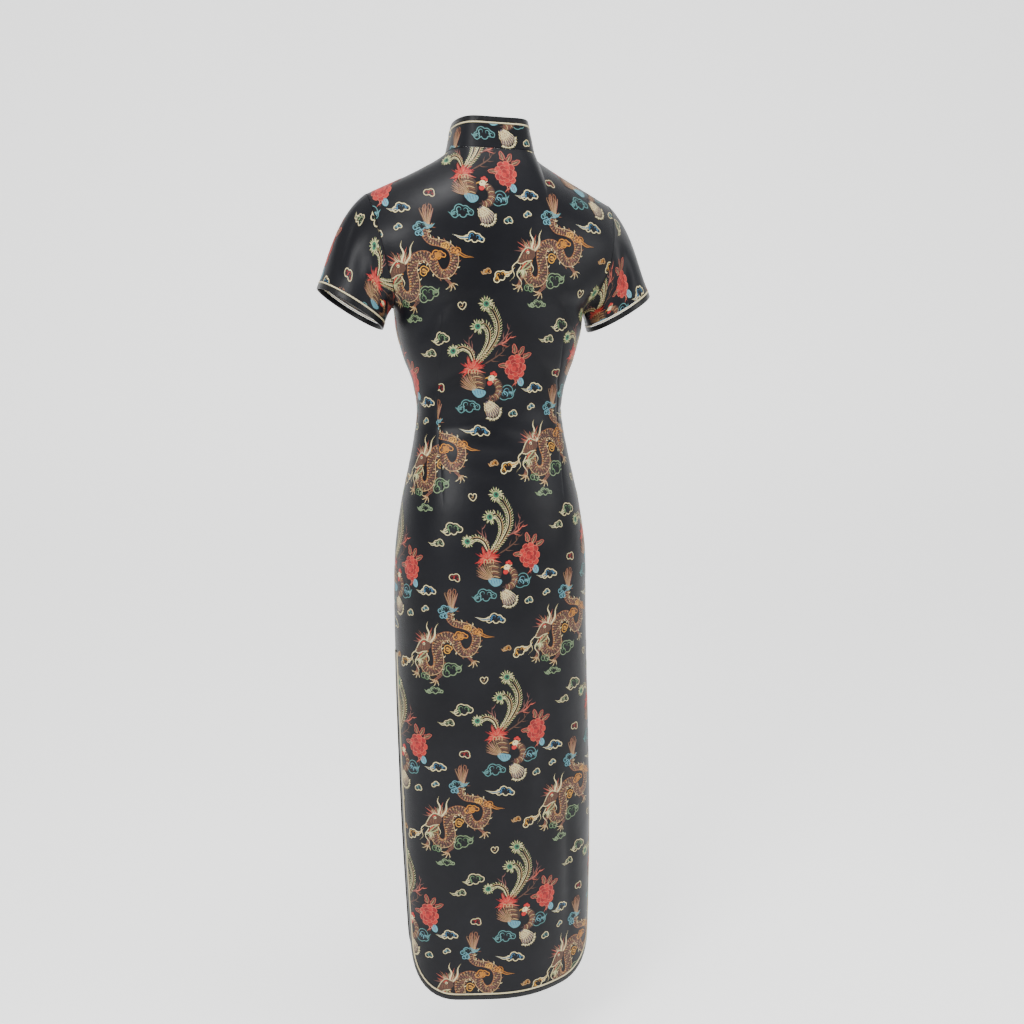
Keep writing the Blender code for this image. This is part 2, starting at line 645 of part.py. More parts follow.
class Collar:
    """The stand collar: a band over the neck seam, laid out by length from the back and by height."""

    def __init__(self):
        turns = np.linspace(-COLLAR_SPAN, COLLAR_SPAN, CURVE_SAMPLES)
        side = np.where(np.abs(turns) <= QUARTER, BACK, FRONT)
        across = NECK_HALF_WIDTH * np.sin(turns)
        heights = neckline_height(across, side)
        self.base = body_point(side, np.arcsin(across / half_width_at(heights)), heights)
        self.base[:, 1] -= side * SEAM_GAP / 2
        self.base[:, 2] += COLLAR_GAP
        run = np.gradient(self.base, axis=0)
        out = np.column_stack((-run[:, 1], run[:, 0], np.zeros(len(run))))
        self.rise = unit(np.array((0, 0, 1)) - COLLAR_LEAN * unit(out))
        self.normals = unit(np.cross(self.rise, run))
        strides = np.linalg.norm(np.diff(self.base, axis=0), axis=1)
        self.lengths = np.concatenate(((0.0,), np.cumsum(strides)))
        self.lengths -= self.lengths[-1] / 2
        self.front = float(np.interp(math.pi, turns, self.lengths))
        columns = np.linspace(COLLAR_TURN, -COLLAR_TURN, COLLAR_COLUMNS + 1)
        self.columns = np.interp(columns, turns, self.lengths)
        self.end = self.front - COLLAR_OPENING / 2

    def look_up(self, table, length):
        """A table of vectors along the collar, at lengths from the middle of the back."""
        return np.stack([np.interp(length, self.lengths, table[:, axis]) for axis in range(3)], axis=-1)

    def surface(self, length, height):
        """The collar's outer surface and its normals, at lengths and at heights."""
        risen = np.asarray(height)[..., None] * self.look_up(self.rise, length)
        return self.look_up(self.base, length) + risen, unit(self.look_up(self.normals, length))

    def top(self, length):
        """The collar's full height at a length from the middle of the back."""
        share = (1 + np.cos(math.pi * length / self.end)) / 2
        return mix(COLLAR_FRONT_HEIGHT, COLLAR_BACK_HEIGHT, share)

    def corner(self, inset):
        """The left front corner moved in by an inset: its lengths, and its drops below the top."""
        radius = COLLAR_CORNER - inset
        turns = np.linspace(0, QUARTER, COLLAR_CORNER_ROWS + 1)
        lengths = self.end - COLLAR_CORNER + radius * np.cos(turns)
        return lengths, COLLAR_CORNER - radius * np.sin(turns)

    def top_line(self, inset):
        """The lengths and heights of the top edge moved in by an inset, left end to right end."""
        corner, drops = self.corner(inset)
        lengths = np.concatenate((corner, self.columns, -corner[::-1]))
        drops = np.concatenate((drops, np.full(len(self.columns), inset), drops[::-1]))
        return lengths, self.top(lengths) - drops

    def edge_line(self, inset):
        """The front ends' and the top's edge moved in by an inset."""
        lengths, heights = self.top_line(inset)
        lengths = np.concatenate((lengths[:1], lengths, lengths[-1:]))
        return self.surface(lengths, np.concatenate(((0.0,), heights, (0.0,))))

    def build(self):
        """The collar and its edging."""
        lengths, heights = self.top_line(EDGING)
        rise = steps(0, COLLAR_ROWS, 1)[:, None] * heights
        points, normals = self.surface(np.broadcast_to(lengths, rise.shape), rise)
        wall("collar", points, normals, BLACK_SATIN)
        edging("collar", self.edge_line)


def build_frog(name, reach, place, knot_level):
    """A frog's knot half and its loop half, as bars to either side of the edge that they close.

    place gives the points at distances out from the edge and along it. knot_level is how far the
    knot half's bar lies above them, at its end.
    """
    radius = FROG_KNOT_RADIUS
    knot = steps(-reach, FROG_STEPS, -radius, FROG_STEPS, FROG_KNOT_END * radius)
    loop = steps(radius + FROG_LOOP_GAP, FROG_STEPS, reach)
    across = steps(-1, 4, 1)[:, None]
    profile = mix(FROG_EDGE_SHARE, 1, np.sqrt(1 - across**2))
    for suffix, out in (("knot", knot), ("loop", loop)):
        ball = np.sqrt(np.maximum(1 - (out / radius) ** 2, 0))
        half_width = np.where(out > radius, FROG_HALF_WIDTH, np.maximum(radius * ball, FROG_HALF_WIDTH / 2))
        half_width = np.where(out < -radius, FROG_HALF_WIDTH, half_width)
        height = np.maximum(FROG_KNOT_HEIGHT * ball, FROG_HEIGHT)
        level = mix(knot_level, FROG_CLEARANCE, ease(-2 * radius, -radius, out))
        points = place(np.broadcast_to(out, (len(across), len(out))), half_width * across)
        normals = grid_normals(points)
        wall(f"{name}_{suffix}", points, normals, BLACK_CORD, outer=level + height * profile, inner=level)


def build_frogs(collar):
    """The collar's frog and those along the flap."""

    def on_collar(out, along):
        return collar.surface(collar.front - out, FROG_COLLAR_LEVEL + along)[0]

    build_frog("frog_collar", FROG_COLLAR_REACH, on_collar, FROG_CLEARANCE)
    line, run = flap_curve()
    for frog in FROGS:
        i = round((1 - frog.along) * (len(line) - 1))

        def on_flap(out, along, start=line[i], ahead=run[i]):
            lengths = start[0] + out * ahead[1] + along * ahead[0]
            heights = start[1] - out * ahead[0] + along * ahead[1]
            return body_point(FRONT, angle_at(FRONT, lengths, heights), heights)

        build_frog(frog.name, frog.reach, on_flap, SEAM_GAP)


def main():
    """Clears the scene and builds every piece."""
    for obj in list(bpy.data.objects):
        bpy.data.objects.remove(obj)
    build_back()
    build_front()
    build_under_front()
    body_edging("back_hem", BACK, lambda inset: skirt_line(BACK, inset))
    body_edging("front_hem", FRONT, lambda inset: skirt_line(FRONT, inset))
    body_edging("flap", FRONT, lambda inset: flap_line(inset, FLAP_STEPS))
    build_sleeve("sleeve_left", LEFT)
    build_sleeve("sleeve_right", RIGHT)
    collar = Collar()
    collar.build()
    build_frogs(collar)


main()
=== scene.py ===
"""The looks of a worn cheongsam: black satin brocade with woven dragons, phoenixes, peonies and clouds,
black bias binding with cream piping, and corded frogs. Metres, +Z up, the front faces -Y.
"""

import logging
import math
from collections.abc import Callable, Sequence
from dataclasses import dataclass, field
from enum import Enum
from functools import lru_cache
from typing import Any, NamedTuple

import bmesh
import bpy
import numpy as np
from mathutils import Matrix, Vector


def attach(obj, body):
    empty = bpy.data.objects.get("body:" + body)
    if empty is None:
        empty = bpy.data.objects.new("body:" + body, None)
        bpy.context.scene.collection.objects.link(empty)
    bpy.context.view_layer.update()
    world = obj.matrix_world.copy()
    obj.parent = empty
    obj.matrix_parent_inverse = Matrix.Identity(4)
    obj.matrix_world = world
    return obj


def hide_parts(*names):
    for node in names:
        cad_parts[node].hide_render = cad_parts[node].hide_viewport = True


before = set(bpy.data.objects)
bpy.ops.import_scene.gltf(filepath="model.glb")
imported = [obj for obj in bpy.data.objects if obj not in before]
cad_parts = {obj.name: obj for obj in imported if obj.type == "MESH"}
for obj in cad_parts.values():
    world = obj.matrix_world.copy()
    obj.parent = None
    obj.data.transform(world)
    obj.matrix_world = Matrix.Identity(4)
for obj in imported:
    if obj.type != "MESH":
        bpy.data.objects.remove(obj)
log = logging.getLogger("cheongsam")

Array = np.ndarray
Colour = tuple[float, float, float]
Points = Sequence[Sequence[float]]
Line = Callable[[float], tuple[Array, Array]]

# Cloth and edging, as in the part's source
WALL = 0.0015
SEAM_GAP = 0.0003
FLAP_GAP = 0.0009
EDGING_GAP = 0.0005
BINDING_WIDTH = 0.008
BINDING_PROUD = 0.0005
PIPING_WIDTH = 0.002
PIPING_PROUD = 0.0009
EDGE_ROUNDING = 0.0002
PIPING_INSET = BINDING_WIDTH + EDGING_GAP
EDGING = PIPING_INSET + PIPING_WIDTH + EDGING_GAP

# Levels, from the origin in the middle of the neck
SHOULDER_TIP = -0.077
UNDERARM = -0.238
WAIST = -0.390
SLIT_TOP = -0.761
SLIT_TURN = 0.004
HEM = -1.315
FLOOR = -1.450

# Neck and shoulders
NECK_HALF_WIDTH = 0.066
NECK_SIDE_DROP = 0.012
BACK_NECK_DROP = 0.0146
FRONT_NECK_DROP = 0.070
FRONT_NECK_ROUNDNESS = 0.9
NECK_RISE = 0.10
SHOULDER_HALF_WIDTH = 0.187
SHOULDER_BOW = 0.85
SHOULDER_ROUND = 0.090
FULLNESS = 0.18

# Skirt
SLIT_SPREAD = 0.030
HEM_CORNER = 0.080
SKIRT_WAVES = 5
SKIRT_WAVE_DEPTH = 0.0035
SKIRT_WAVE_START = -0.62
SKIRT_WAVE_SHIFT = 0.6

# Collar, sleeves and frogs, as in the part's source
COLLAR_BACK_HEIGHT = 0.047
COLLAR_FRONT_HEIGHT = 0.039
COLLAR_GAP = 0.0007
COLLAR_LEAN = 0.22
COLLAR_CORNER = 0.016
COLLAR_OPENING = 0.004
COLLAR_SPAN = 1.1 * math.pi
COLLAR_TURN = math.radians(150)
CUFF_OUT = 0.2125
CUFF_FORWARD = 0.004
CUFF_LEVEL = -0.2425
CUFF_HALF_WIDTH = 0.056
CUFF_HALF_DEPTH = 0.060
CUFF_TILT = math.radians(31.8)
SLEEVE_SEAM_GAP = 0.0008
SLEEVE_START_RUN = (0.80, -0.45, -0.60)
SLEEVE_END_RUN = (0.36, 0.0, -0.93)
SLEEVE_FOLD_DEPTH = 0.004
SLEEVE_FOLD_TURN = 1.75
SLEEVE_FOLD_WIDTH = 0.22
SLEEVE_FOLD_MIDDLE = 0.38
SLEEVE_FOLD_LENGTH = 0.26
FROG_COLLAR_REACH = 0.022
FROG_COLLAR_LEVEL = 0.020
FROG_CLEARANCE = PIPING_PROUD + 2 * SEAM_GAP
FROGS = (("frog_chest", 0.33, 0.030), ("frog_side", 0.64, 0.026))

# Grid fineness
SHOULDER_COLUMNS = 18
NECK_COLUMNS = 44
PANEL_COLUMNS = 2 * SHOULDER_COLUMNS + NECK_COLUMNS
CORNER_ROWS = 12
SKIRT_ROWS = 70
HIP_ROWS = 90
BODICE_ROWS = 36
SIDE_ROWS = 14
ARMHOLE_ROWS = 34
UNDER_NECK_COLUMNS = 26
UNDER_TIP_CUT = 0.2
UNDER_LIFT = 4
UNDER_REACH = 0.06
SLEEVE_ROWS = 40
COLLAR_COLUMNS = 120
COLLAR_ROWS = 10
COLLAR_CORNER_ROWS = 10
SLIT_STEPS = 90
DART_OUTER_COLUMNS = 14
DART_COLUMNS = (-2, -1, 0, 1, 2)
FLAP_STEPS = 120
HEM_STEPS = 60
RING_SAMPLES = 61
THREAD_SAMPLES = 61
CURVE_SAMPLES = 241
LEVEL_SAMPLES = 700
NUDGE = 1e-4
MERGE = 1e-6
CLOTH_SHARP = 60.0
REPEATS = 6

BACK, FRONT = 1, -1
LEFT, RIGHT = 1, -1
QUARTER = math.pi / 2
CM = 0.01


class Section(NamedTuple):
    """One level of the body: its half width and depths, and how far its middle leans to the side."""

    height: float
    half_width: float
    back: float
    front: float
    sway: float


SECTIONS = (
    Section(-1.325, 0.150, 0.096, 0.093, -0.010),
    Section(-1.000, 0.156, 0.101, 0.095, -0.006),
    Section(SLIT_TOP, 0.154, 0.111, 0.099, -0.001),
    Section(-0.700, 0.153, 0.116, 0.101, 0.0),
    Section(-0.620, 0.151, 0.119, 0.102, 0.0),
    Section(-0.540, 0.141, 0.110, 0.098, 0.0),
    Section(-0.480, 0.128, 0.094, 0.092, 0.0),
    Section(-0.430, 0.118, 0.081, 0.087, 0.0),
    Section(WAIST, 0.113, 0.076, 0.087, 0.0),
    Section(-0.350, 0.119, 0.081, 0.098, 0.0),
    Section(-0.310, 0.133, 0.089, 0.116, 0.0),
    Section(-0.270, 0.143, 0.097, 0.127, 0.0),
    Section(UNDERARM, 0.147, 0.101, 0.124, 0.0),
    Section(-0.210, 0.182, 0.103, 0.118, 0.0),
    Section(-0.169, 0.212, 0.103, 0.106, 0.0),
    Section(-0.128, 0.222, 0.098, 0.090, 0.0),
    Section(-0.080, 0.222, 0.088, 0.070, 0.0),
    Section(-0.040, 0.220, 0.074, 0.056, 0.0),
    Section(0.000, 0.215, 0.056, 0.045, 0.0),
    Section(0.020, 0.215, 0.050, 0.040, 0.0),
)


class ArmholePoint(NamedTuple):
    """A point of the armhole seam, seen from the back."""

    height: float
    half_width: float


ARMHOLE = (
    ArmholePoint(UNDERARM, 0.147),
    ArmholePoint(-0.210, 0.158),
    ArmholePoint(-0.169, 0.171),
    ArmholePoint(-0.128, 0.179),
    ArmholePoint(SHOULDER_TIP, SHOULDER_HALF_WIDTH),
)


class FlapPoint(NamedTuple):
    """A point of the flap's edge: the cloth's length from the middle of the front, and its height."""

    length: float
    height: float


FLAP_EDGE = (
    FlapPoint(0.000, -0.0700),
    FlapPoint(-0.016, -0.0960),
    FlapPoint(-0.053, -0.1220),
    FlapPoint(-0.106, -0.1550),
    FlapPoint(-0.162, -0.2180),
    FlapPoint(-0.212, -0.2950),
)
FLAP_EXTENSION = 0.030


def mix(a: Any, b: Any, share: Any) -> Any:
    """The point that lies the given share of the way from a to b."""
    return a + (b - a) * share


def ease(low: float, high: float, value: Any) -> Any:
    """0 up to low, 1 from high, and smooth between."""
    s = np.clip((value - low) / (high - low), 0.0, 1.0)
    return s * s * (3 - 2 * s)


def steps(*breaks_and_counts: float) -> Array:
    """Values from break to break, given as break, count, break, count and so on to a last break."""
    found = [breaks_and_counts[0]]
    for count, high in zip(breaks_and_counts[1::2], breaks_and_counts[2::2]):
        found += list(np.linspace(found[-1], high, int(count) + 1)[1:])
    return np.array(found)


def unit(vectors: Array) -> Array:
    """The vectors, each one unit long."""
    return vectors / np.maximum(np.linalg.norm(vectors, axis=-1, keepdims=True), 1e-12)


def running_length(line: Array) -> Array:
    """The length along a line of points, from its start to each of them."""
    return np.concatenate(((0.0,), np.cumsum(np.linalg.norm(np.diff(line, axis=0), axis=1))))


def turned(degrees: float) -> tuple[float, float]:
    """The cosine and the sine of an angle in degrees."""
    return math.cos(math.radians(degrees)), math.sin(math.radians(degrees))


def smooth_curve(places: Sequence[float], values: Sequence[float]) -> Callable[[Any], Any]:
    """A curve through the points that never overshoots between them, for a place or an array."""
    places, values = np.asarray(places, float), np.asarray(values, float)
    widths = np.diff(places)
    slopes = np.diff(values) / widths
    tangents = np.concatenate((slopes[:1], np.zeros(len(places) - 2), slopes[-1:]))
    for i in range(1, len(places) - 1):
        if slopes[i - 1] * slopes[i] > 0:
            near = 2 * widths[i] + widths[i - 1]
            far = widths[i] + 2 * widths[i - 1]
            tangents[i] = (near + far) / (near / slopes[i - 1] + far / slopes[i])

    def at(place: Any) -> Any:
        """The curve's value at a place or at an array of places."""
        place = np.clip(place, places[0], places[-1])
        i = np.minimum(np.searchsorted(places, place, side="right") - 1, len(widths) - 1)
        s = (place - places[i]) / widths[i]
        levels = values[i] * (1 + 2 * s) * (1 - s) ** 2 + values[i + 1] * s * s * (3 - 2 * s)
        return levels + widths[i] * (tangents[i] * s * (1 - s) ** 2 - tangents[i + 1] * s * s * (1 - s))

    return at


LEVELS = [row.height for row in SECTIONS]
half_width_at = smooth_curve(LEVELS, [row.half_width for row in SECTIONS])
back_at = smooth_curve(LEVELS, [row.back for row in SECTIONS])
front_at = smooth_curve(LEVELS, [row.front for row in SECTIONS])
sway_at = smooth_curve(LEVELS, [row.sway for row in SECTIONS])
armhole_at = smooth_curve([p.height for p in ARMHOLE], [p.half_width for p in ARMHOLE])


def ridge_height(x: Any) -> Any:
    """The height of the shoulder's top, and over the neck of the line that it would follow there."""
    out = np.abs(x)
    span = np.maximum(out - NECK_HALF_WIDTH, 0) / (SHOULDER_HALF_WIDTH - NECK_HALF_WIDTH)
    inside = np.maximum(1 - (out / NECK_HALF_WIDTH) ** 2, 0)
    slope = (SHOULDER_TIP + NECK_SIDE_DROP) * span**SHOULDER_BOW
    return -NECK_SIDE_DROP + slope + NECK_RISE * inside


def neckline_height(x: Any, side: Any) -> Any:
    """The height of the neck seam at a place across."""
    inside = np.maximum(1 - (np.abs(x) / NECK_HALF_WIDTH) ** 2, 0)
    front = -NECK_SIDE_DROP - (FRONT_NECK_DROP - NECK_SIDE_DROP) * inside**FRONT_NECK_ROUNDNESS
    back = -NECK_SIDE_DROP - (BACK_NECK_DROP - NECK_SIDE_DROP) * inside
    return np.where(np.asarray(side) == BACK, back, front)


def body_point(side: Any, angle: Any, height: Any) -> Array:
    """The points of the body's outer surface at angles round its section and at heights."""
    side, angle, height = np.broadcast_arrays(side, angle, height)
    x = half_width_at(height) * np.sin(angle)
    depth = np.where(side == BACK, back_at(height), front_at(height))
    depth = depth * np.cos(angle) * (1 + FULLNESS * np.sin(angle) ** 2)
    below = np.clip((ridge_height(x) - height) / SHOULDER_ROUND, 0, 1)
    depth = depth * np.sqrt(1 - (1 - below) ** 2)
    turn = np.where(side == BACK, angle, math.pi - angle)
    reach = 1 - ease(HEM, SKIRT_WAVE_START, height)
    wave = SKIRT_WAVE_DEPTH * reach * np.cos(SKIRT_WAVES * turn + SKIRT_WAVE_SHIFT)
    x = x + wave * np.sin(angle) + sway_at(height)
    y = side * (depth + wave * np.cos(angle) + SEAM_GAP / 2)
    return np.stack((x, y, height), axis=-1)


def body_normals(side: Any, angle: Any, height: Any) -> Array:
    """The outward unit normals of the body's surface, square to the side and shoulder seams on them."""
    along = body_point(side, angle + NUDGE, height) - body_point(side, angle - NUDGE, height)
    up = body_point(side, angle, height) - body_point(side, angle, height - NUDGE)
    normals = -side * np.cross(along, up)
    normals[np.abs(body_point(side, angle, height)[..., 1]) <= SEAM_GAP, 1] = 0.0
    return unit(normals)


@lru_cache(maxsize=None)
def ring_lengths(side: int, height: float) -> tuple[Array, Array]:
    """Angles round half a section, and the cloth's length from the middle out to each."""
    angles = np.linspace(0, QUARTER, RING_SAMPLES)
    return angles, running_length(body_point(side, angles, height))


def side_length(side: int, heights: Array) -> Array:
    """The cloth's length from the middle to the side line at each height."""
    return np.array([ring_lengths(side, float(level))[1][-1] for level in np.atleast_1d(heights)])


@lru_cache(maxsize=None)
def length_table(side: int) -> tuple[Array, Array]:
    """Heights, and at each the cloth's length from the middle out to each of the ring's angles."""
    levels = np.linspace(HEM - 0.01, 0.02, LEVEL_SAMPLES)
    return levels, np.array([ring_lengths(side, float(level))[1] for level in levels])


def length_at(side: int, angle: Any, height: Any) -> Array:
    """The cloth's length from the middle at angles and heights."""
    angle, height = np.broadcast_arrays(np.asarray(angle, float), np.asarray(height, float))
    levels, table = length_table(side)
    row = np.clip((height - levels[0]) / (levels[1] - levels[0]), 0, len(levels) - 1.001)
    column = np.clip(np.abs(angle) / QUARTER * (RING_SAMPLES - 1), 0, RING_SAMPLES - 1.001)
    i, j = row.astype(int), column.astype(int)
    low = mix(table[i, j], table[i, j + 1], column - j)
    high = mix(table[i + 1, j], table[i + 1, j + 1], column - j)
    return np.copysign(mix(low, high, row - i), angle)


def length_across(side: int, across: Any, height: Any) -> Array:
    """The cloth's length from the middle at places across, or at the side line where they pass it."""
    return length_at(side, np.arcsin(np.minimum(across / half_width_at(height), 1)), height)


@lru_cache(maxsize=None)
def angle_table(side: int) -> tuple[Array, Array, Array]:
    """Heights, side lengths there, and the angles at even shares of the way out to the side."""
    levels, table = length_table(side)
    shares = np.linspace(0, 1, RING_SAMPLES)
    angles = np.linspace(0, QUARTER, RING_SAMPLES)
    return levels, table[:, -1], np.array([np.interp(shares * row[-1], row, angles) for row in table])


def angle_at(side: int, length: Any, height: Any) -> Array:
    """The angles at which the cloth has given lengths from the middle, with their signs."""
    length, height = np.broadcast_arrays(np.asarray(length, float), np.asarray(height, float))
    levels, ends, table = angle_table(side)
    row = np.clip((height - levels[0]) / (levels[1] - levels[0]), 0, len(levels) - 1.001)
    i = row.astype(int)
    share = np.abs(length) / mix(ends[i], ends[i + 1], row - i)
    column = np.clip(share * (RING_SAMPLES - 1), 0, RING_SAMPLES - 1.001)
    j = column.astype(int)
    low = mix(table[i, j], table[i, j + 1], column - j)
    high = mix(table[i + 1, j], table[i + 1, j + 1], column - j)
    return np.copysign(mix(low, high, row - i), length)


def armhole_angle(height: Any) -> Array:
    """The angle of the armhole seam, or of the side seam below it."""
    ratio = np.minimum(armhole_at(height) / half_width_at(height), 1.0)
    return np.where(np.asarray(height) <= UNDERARM, QUARTER, np.arcsin(ratio))


def grid_normals(points: Array, closed: bool = False) -> Array:
    """The unit normals of a grid of points, whose columns run to the right as seen from outside."""
    if closed:
        ring = np.concatenate((points[:, -2:-1], points, points[:, 1:2]), axis=1)
        along = np.gradient(ring, axis=1)[:, 1:-1]
    else:
        along = np.gradient(points, axis=1)
    return unit(np.cross(along, np.gradient(points, axis=0)))


def catmull(points: Points, step: float, closed: bool = False) -> Array:
    """A smooth line through points in the plane, sampled at about even steps.

    Args:
        points: the places that the line passes.
        step: the length between samples.
        closed: whether the line comes back to its start, which is then given again at its end.

    Returns:
        The samples, as rows of two numbers.
    """
    p = np.asarray(points, float)
    if closed:
        p = np.vstack((p[-1:], p, p[:2]))
    else:
        p = np.vstack((2 * p[0] - p[1], p, 2 * p[-1] - p[-2]))
    t = np.linspace(0, 1, 9)[:-1, None]
    pieces = []
    for a, b, c, d in zip(p, p[1:], p[2:], p[3:]):
        square = (2 * a - 5 * b + 4 * c - d) * t**2
        cube = (3 * b - a - 3 * c + d) * t**3
        pieces.append(0.5 * (2 * b + (c - a) * t + square + cube))
    line = np.vstack((*pieces, p[-2:-1]))
    reach = running_length(line)
    count = max(2, round(reach[-1] / step))
    wanted = np.linspace(0, reach[-1], count + 1)
    return np.column_stack([np.interp(wanted, reach, line[:, k]) for k in range(2)])


def across_line(line: Array) -> Array:
    """Unit vectors square to a line in the plane, to its left."""
    run = unit(np.gradient(line, axis=0))
    return np.column_stack((-run[:, 1], run[:, 0]))


# Shader building


class Value:
    """A number's socket in a node tree, with the arithmetic that the finishes use."""

    def __init__(self, shader: "Shader", socket: Any) -> None:
        """Keeps the socket and the shader that it belongs to."""
        self.shader = shader
        self.socket = socket

    def _math(self, operation: str, a: Any, b: Any) -> "Value":
        """The result of a Math node on two values."""
        node = self.shader.node("ShaderNodeMath", {"operation": operation}, {0: a, 1: b})
        return Value(self.shader, node.outputs[0])

    def __add__(self, other: Any) -> "Value":
        """self + other."""
        return self._math("ADD", self, other)

    __radd__ = __add__

    def __sub__(self, other: Any) -> "Value":
        """self - other."""
        return self._math("SUBTRACT", self, other)

    def __rsub__(self, other: Any) -> "Value":
        """other - self."""
        return self._math("SUBTRACT", other, self)

    def __mul__(self, other: Any) -> "Value":
        """self * other."""
        return self._math("MULTIPLY", self, other)

    __rmul__ = __mul__

    def clamp(self, low: float, high: float) -> "Value":
        """The value, kept between two others."""
        return self._math("MINIMUM", self._math("MAXIMUM", self, low), high)

    def ramp(self, low: float, high: float) -> "Value":
        """0 at low and below it, 1 at high and above it, even between."""
        return ((self - low) * (1 / (high - low))).clamp(0.0, 1.0)


class Shader:
    """A material's node tree with its Principled shader."""

    def __init__(self, name: str) -> None:
        """Makes the material, whose tree starts with the Principled shader and the output."""
        self.material = bpy.data.materials.new(name)
        self.material.use_nodes = True
        self.tree = self.material.node_tree
        self.principled = self.tree.nodes["Principled BSDF"]

    def node(self, kind: str, settings: dict[str, Any], inputs: dict[Any, Any]) -> Any:
        """Adds a node.

        Args:
            kind: the node's type.
            settings: its settings, set before its sockets.
            inputs: a value, a Value or a socket for each of its sockets.

        Returns:
            The node.
        """
        node = self.tree.nodes.new(kind)
        for name, value in settings.items():
            setattr(node, name, value)
        for key, value in inputs.items():
            self.feed(node.inputs[key], value)
        return node

    def feed(self, socket: Any, value: Any) -> None:
        """Sets a socket to a plain value, or links it."""
        if isinstance(value, Value):
            value = value.socket
        if isinstance(value, bpy.types.NodeSocket):
            self.tree.links.new(value, socket)
        else:
            socket.default_value = value

    def set(self, **values: Any) -> None:
        """Feeds sockets of the Principled shader, named with underscores for spaces."""
        for name, value in values.items():
            self.feed(self.principled.inputs[name.replace("_", " ")], value)

    def noise(self, place: Any, scale: float, detail: float = 2.0, roughness: float = 0.5) -> Value:
        """A noise texture's value."""
        inputs = {"Vector": place, "Scale": scale, "Detail": detail, "Roughness": roughness}
        return Value(self, self.node("ShaderNodeTexNoise", {}, inputs).outputs[0])

    def wave(self, place: Any, scale: float, direction: str, distortion: float = 0.0) -> Value:
        """A sine wave texture's value along an axis."""
        settings = {"wave_type": "BANDS", "bands_direction": direction, "wave_profile": "SIN"}
        inputs = {"Vector": place, "Scale": scale, "Distortion": distortion}
        inputs |= {"Detail": 1.0, "Detail Scale": 1.0}
        return Value(self, self.node("ShaderNodeTexWave", settings, inputs).outputs[1])

    def stretched(self, place: Any, across: float, along: float) -> Any:
        """A place scaled by one amount across the cloth and by another along it."""
        inputs = {"Vector": place, "Scale": (across, along, 1.0)}
        return self.node("ShaderNodeMapping", {}, inputs).outputs[0]

    def blend(self, factor: Any, a: Any, b: Any, kind: str = "MIX") -> Any:
        """A Mix node's colour from two colours."""
        settings = {"data_type": "RGBA", "blend_type": kind}
        node = self.node("ShaderNodeMix", settings, {0: factor, 6: a, 7: b})
        return node.outputs[2]

    def bump(self, height: Value, distance: float, strength: float = 1.0) -> None:
        """Feeds the Principled shader's normal from a height."""
        inputs = {"Height": height, "Distance": distance, "Strength": strength}
        node = self.node("ShaderNodeBump", {}, inputs)
        self.feed(self.principled.inputs["Normal"], node.outputs[0])

    def cloth_place(self) -> Any:
        """The place on the cloth, from the piece's own UV map, in metres."""
        return self.node("ShaderNodeUVMap", {"uv_map": "cloth"}, {}).outputs[0]


def rgba(colour: Colour) -> tuple[float, float, float, float]:
    """A colour with full alpha."""
    return (*colour, 1.0)


class Thread(Enum):
    """The silks of the woven figures, as linear colours."""

    CREAM = (0.56, 0.49, 0.26)
    PALE_GREEN = (0.28, 0.34, 0.14)
    EYE_GREEN = (0.02, 0.13, 0.075)
    CORAL = (0.42, 0.022, 0.018)
    ROSE = (0.42, 0.085, 0.055)
    CRIMSON = (0.22, 0.010, 0.012)
    MAUVE = (0.14, 0.055, 0.045)
    BROWN = (0.075, 0.034, 0.022)
    RUST = (0.18, 0.070, 0.035)
    SAND = (0.35, 0.22, 0.095)
    GOLD = (0.42, 0.16, 0.015)
    AMBER = (0.52, 0.25, 0.025)
    TEAL = (0.075, 0.20, 0.20)
    SKY = (0.10, 0.27, 0.32)
    BLUE = (0.03, 0.12, 0.22)
    PURPLE = (0.075, 0.055, 0.075)
    LEAF = (0.095, 0.175, 0.08)
    SAGE = (0.15, 0.21, 0.11)
    DARK = (0.030, 0.016, 0.012)
    INK = (0.010, 0.010, 0.012)


@dataclass(frozen=True)
class SatinFinish:
    """The brocade's ground: fine warp satin, nearly black, with a soft sheen."""

    name: str = "black_satin_ground"
    colour: Colour = (0.0028, 0.0030, 0.0045)
    bloom: Colour = (0.0060, 0.0064, 0.0088)
    thread: float = 0.0004

    def build(self) -> bpy.types.Material:
        """Makes the material."""
        shader = Shader(self.name)
        place = shader.cloth_place()
        drift = shader.noise(place, 9.0, 3.0)
        streak = shader.noise(shader.stretched(place, 900.0, 60.0), 1.0, 2.0)
        colour = shader.blend(drift.ramp(0.35, 0.75), rgba(self.colour), rgba(self.bloom))
        weave = shader.wave(place, 0.3 / self.thread, "DIAGONAL")
        shader.set(
            Base_Color=colour,
            Roughness=0.31 + 0.10 * drift + 0.08 * streak,
            Specular_IOR_Level=0.15,
            Sheen_Weight=0.02,
            Sheen_Roughness=0.4,
            Sheen_Tint=(0.55, 0.58, 0.66, 1.0),
        )
        puckers = shader.noise(place, 38.0, 3.0, 0.55)
        shader.bump(weave * 0.04 + streak * 0.06 + puckers * 0.9, 0.0009, 0.5)
        return shader.material


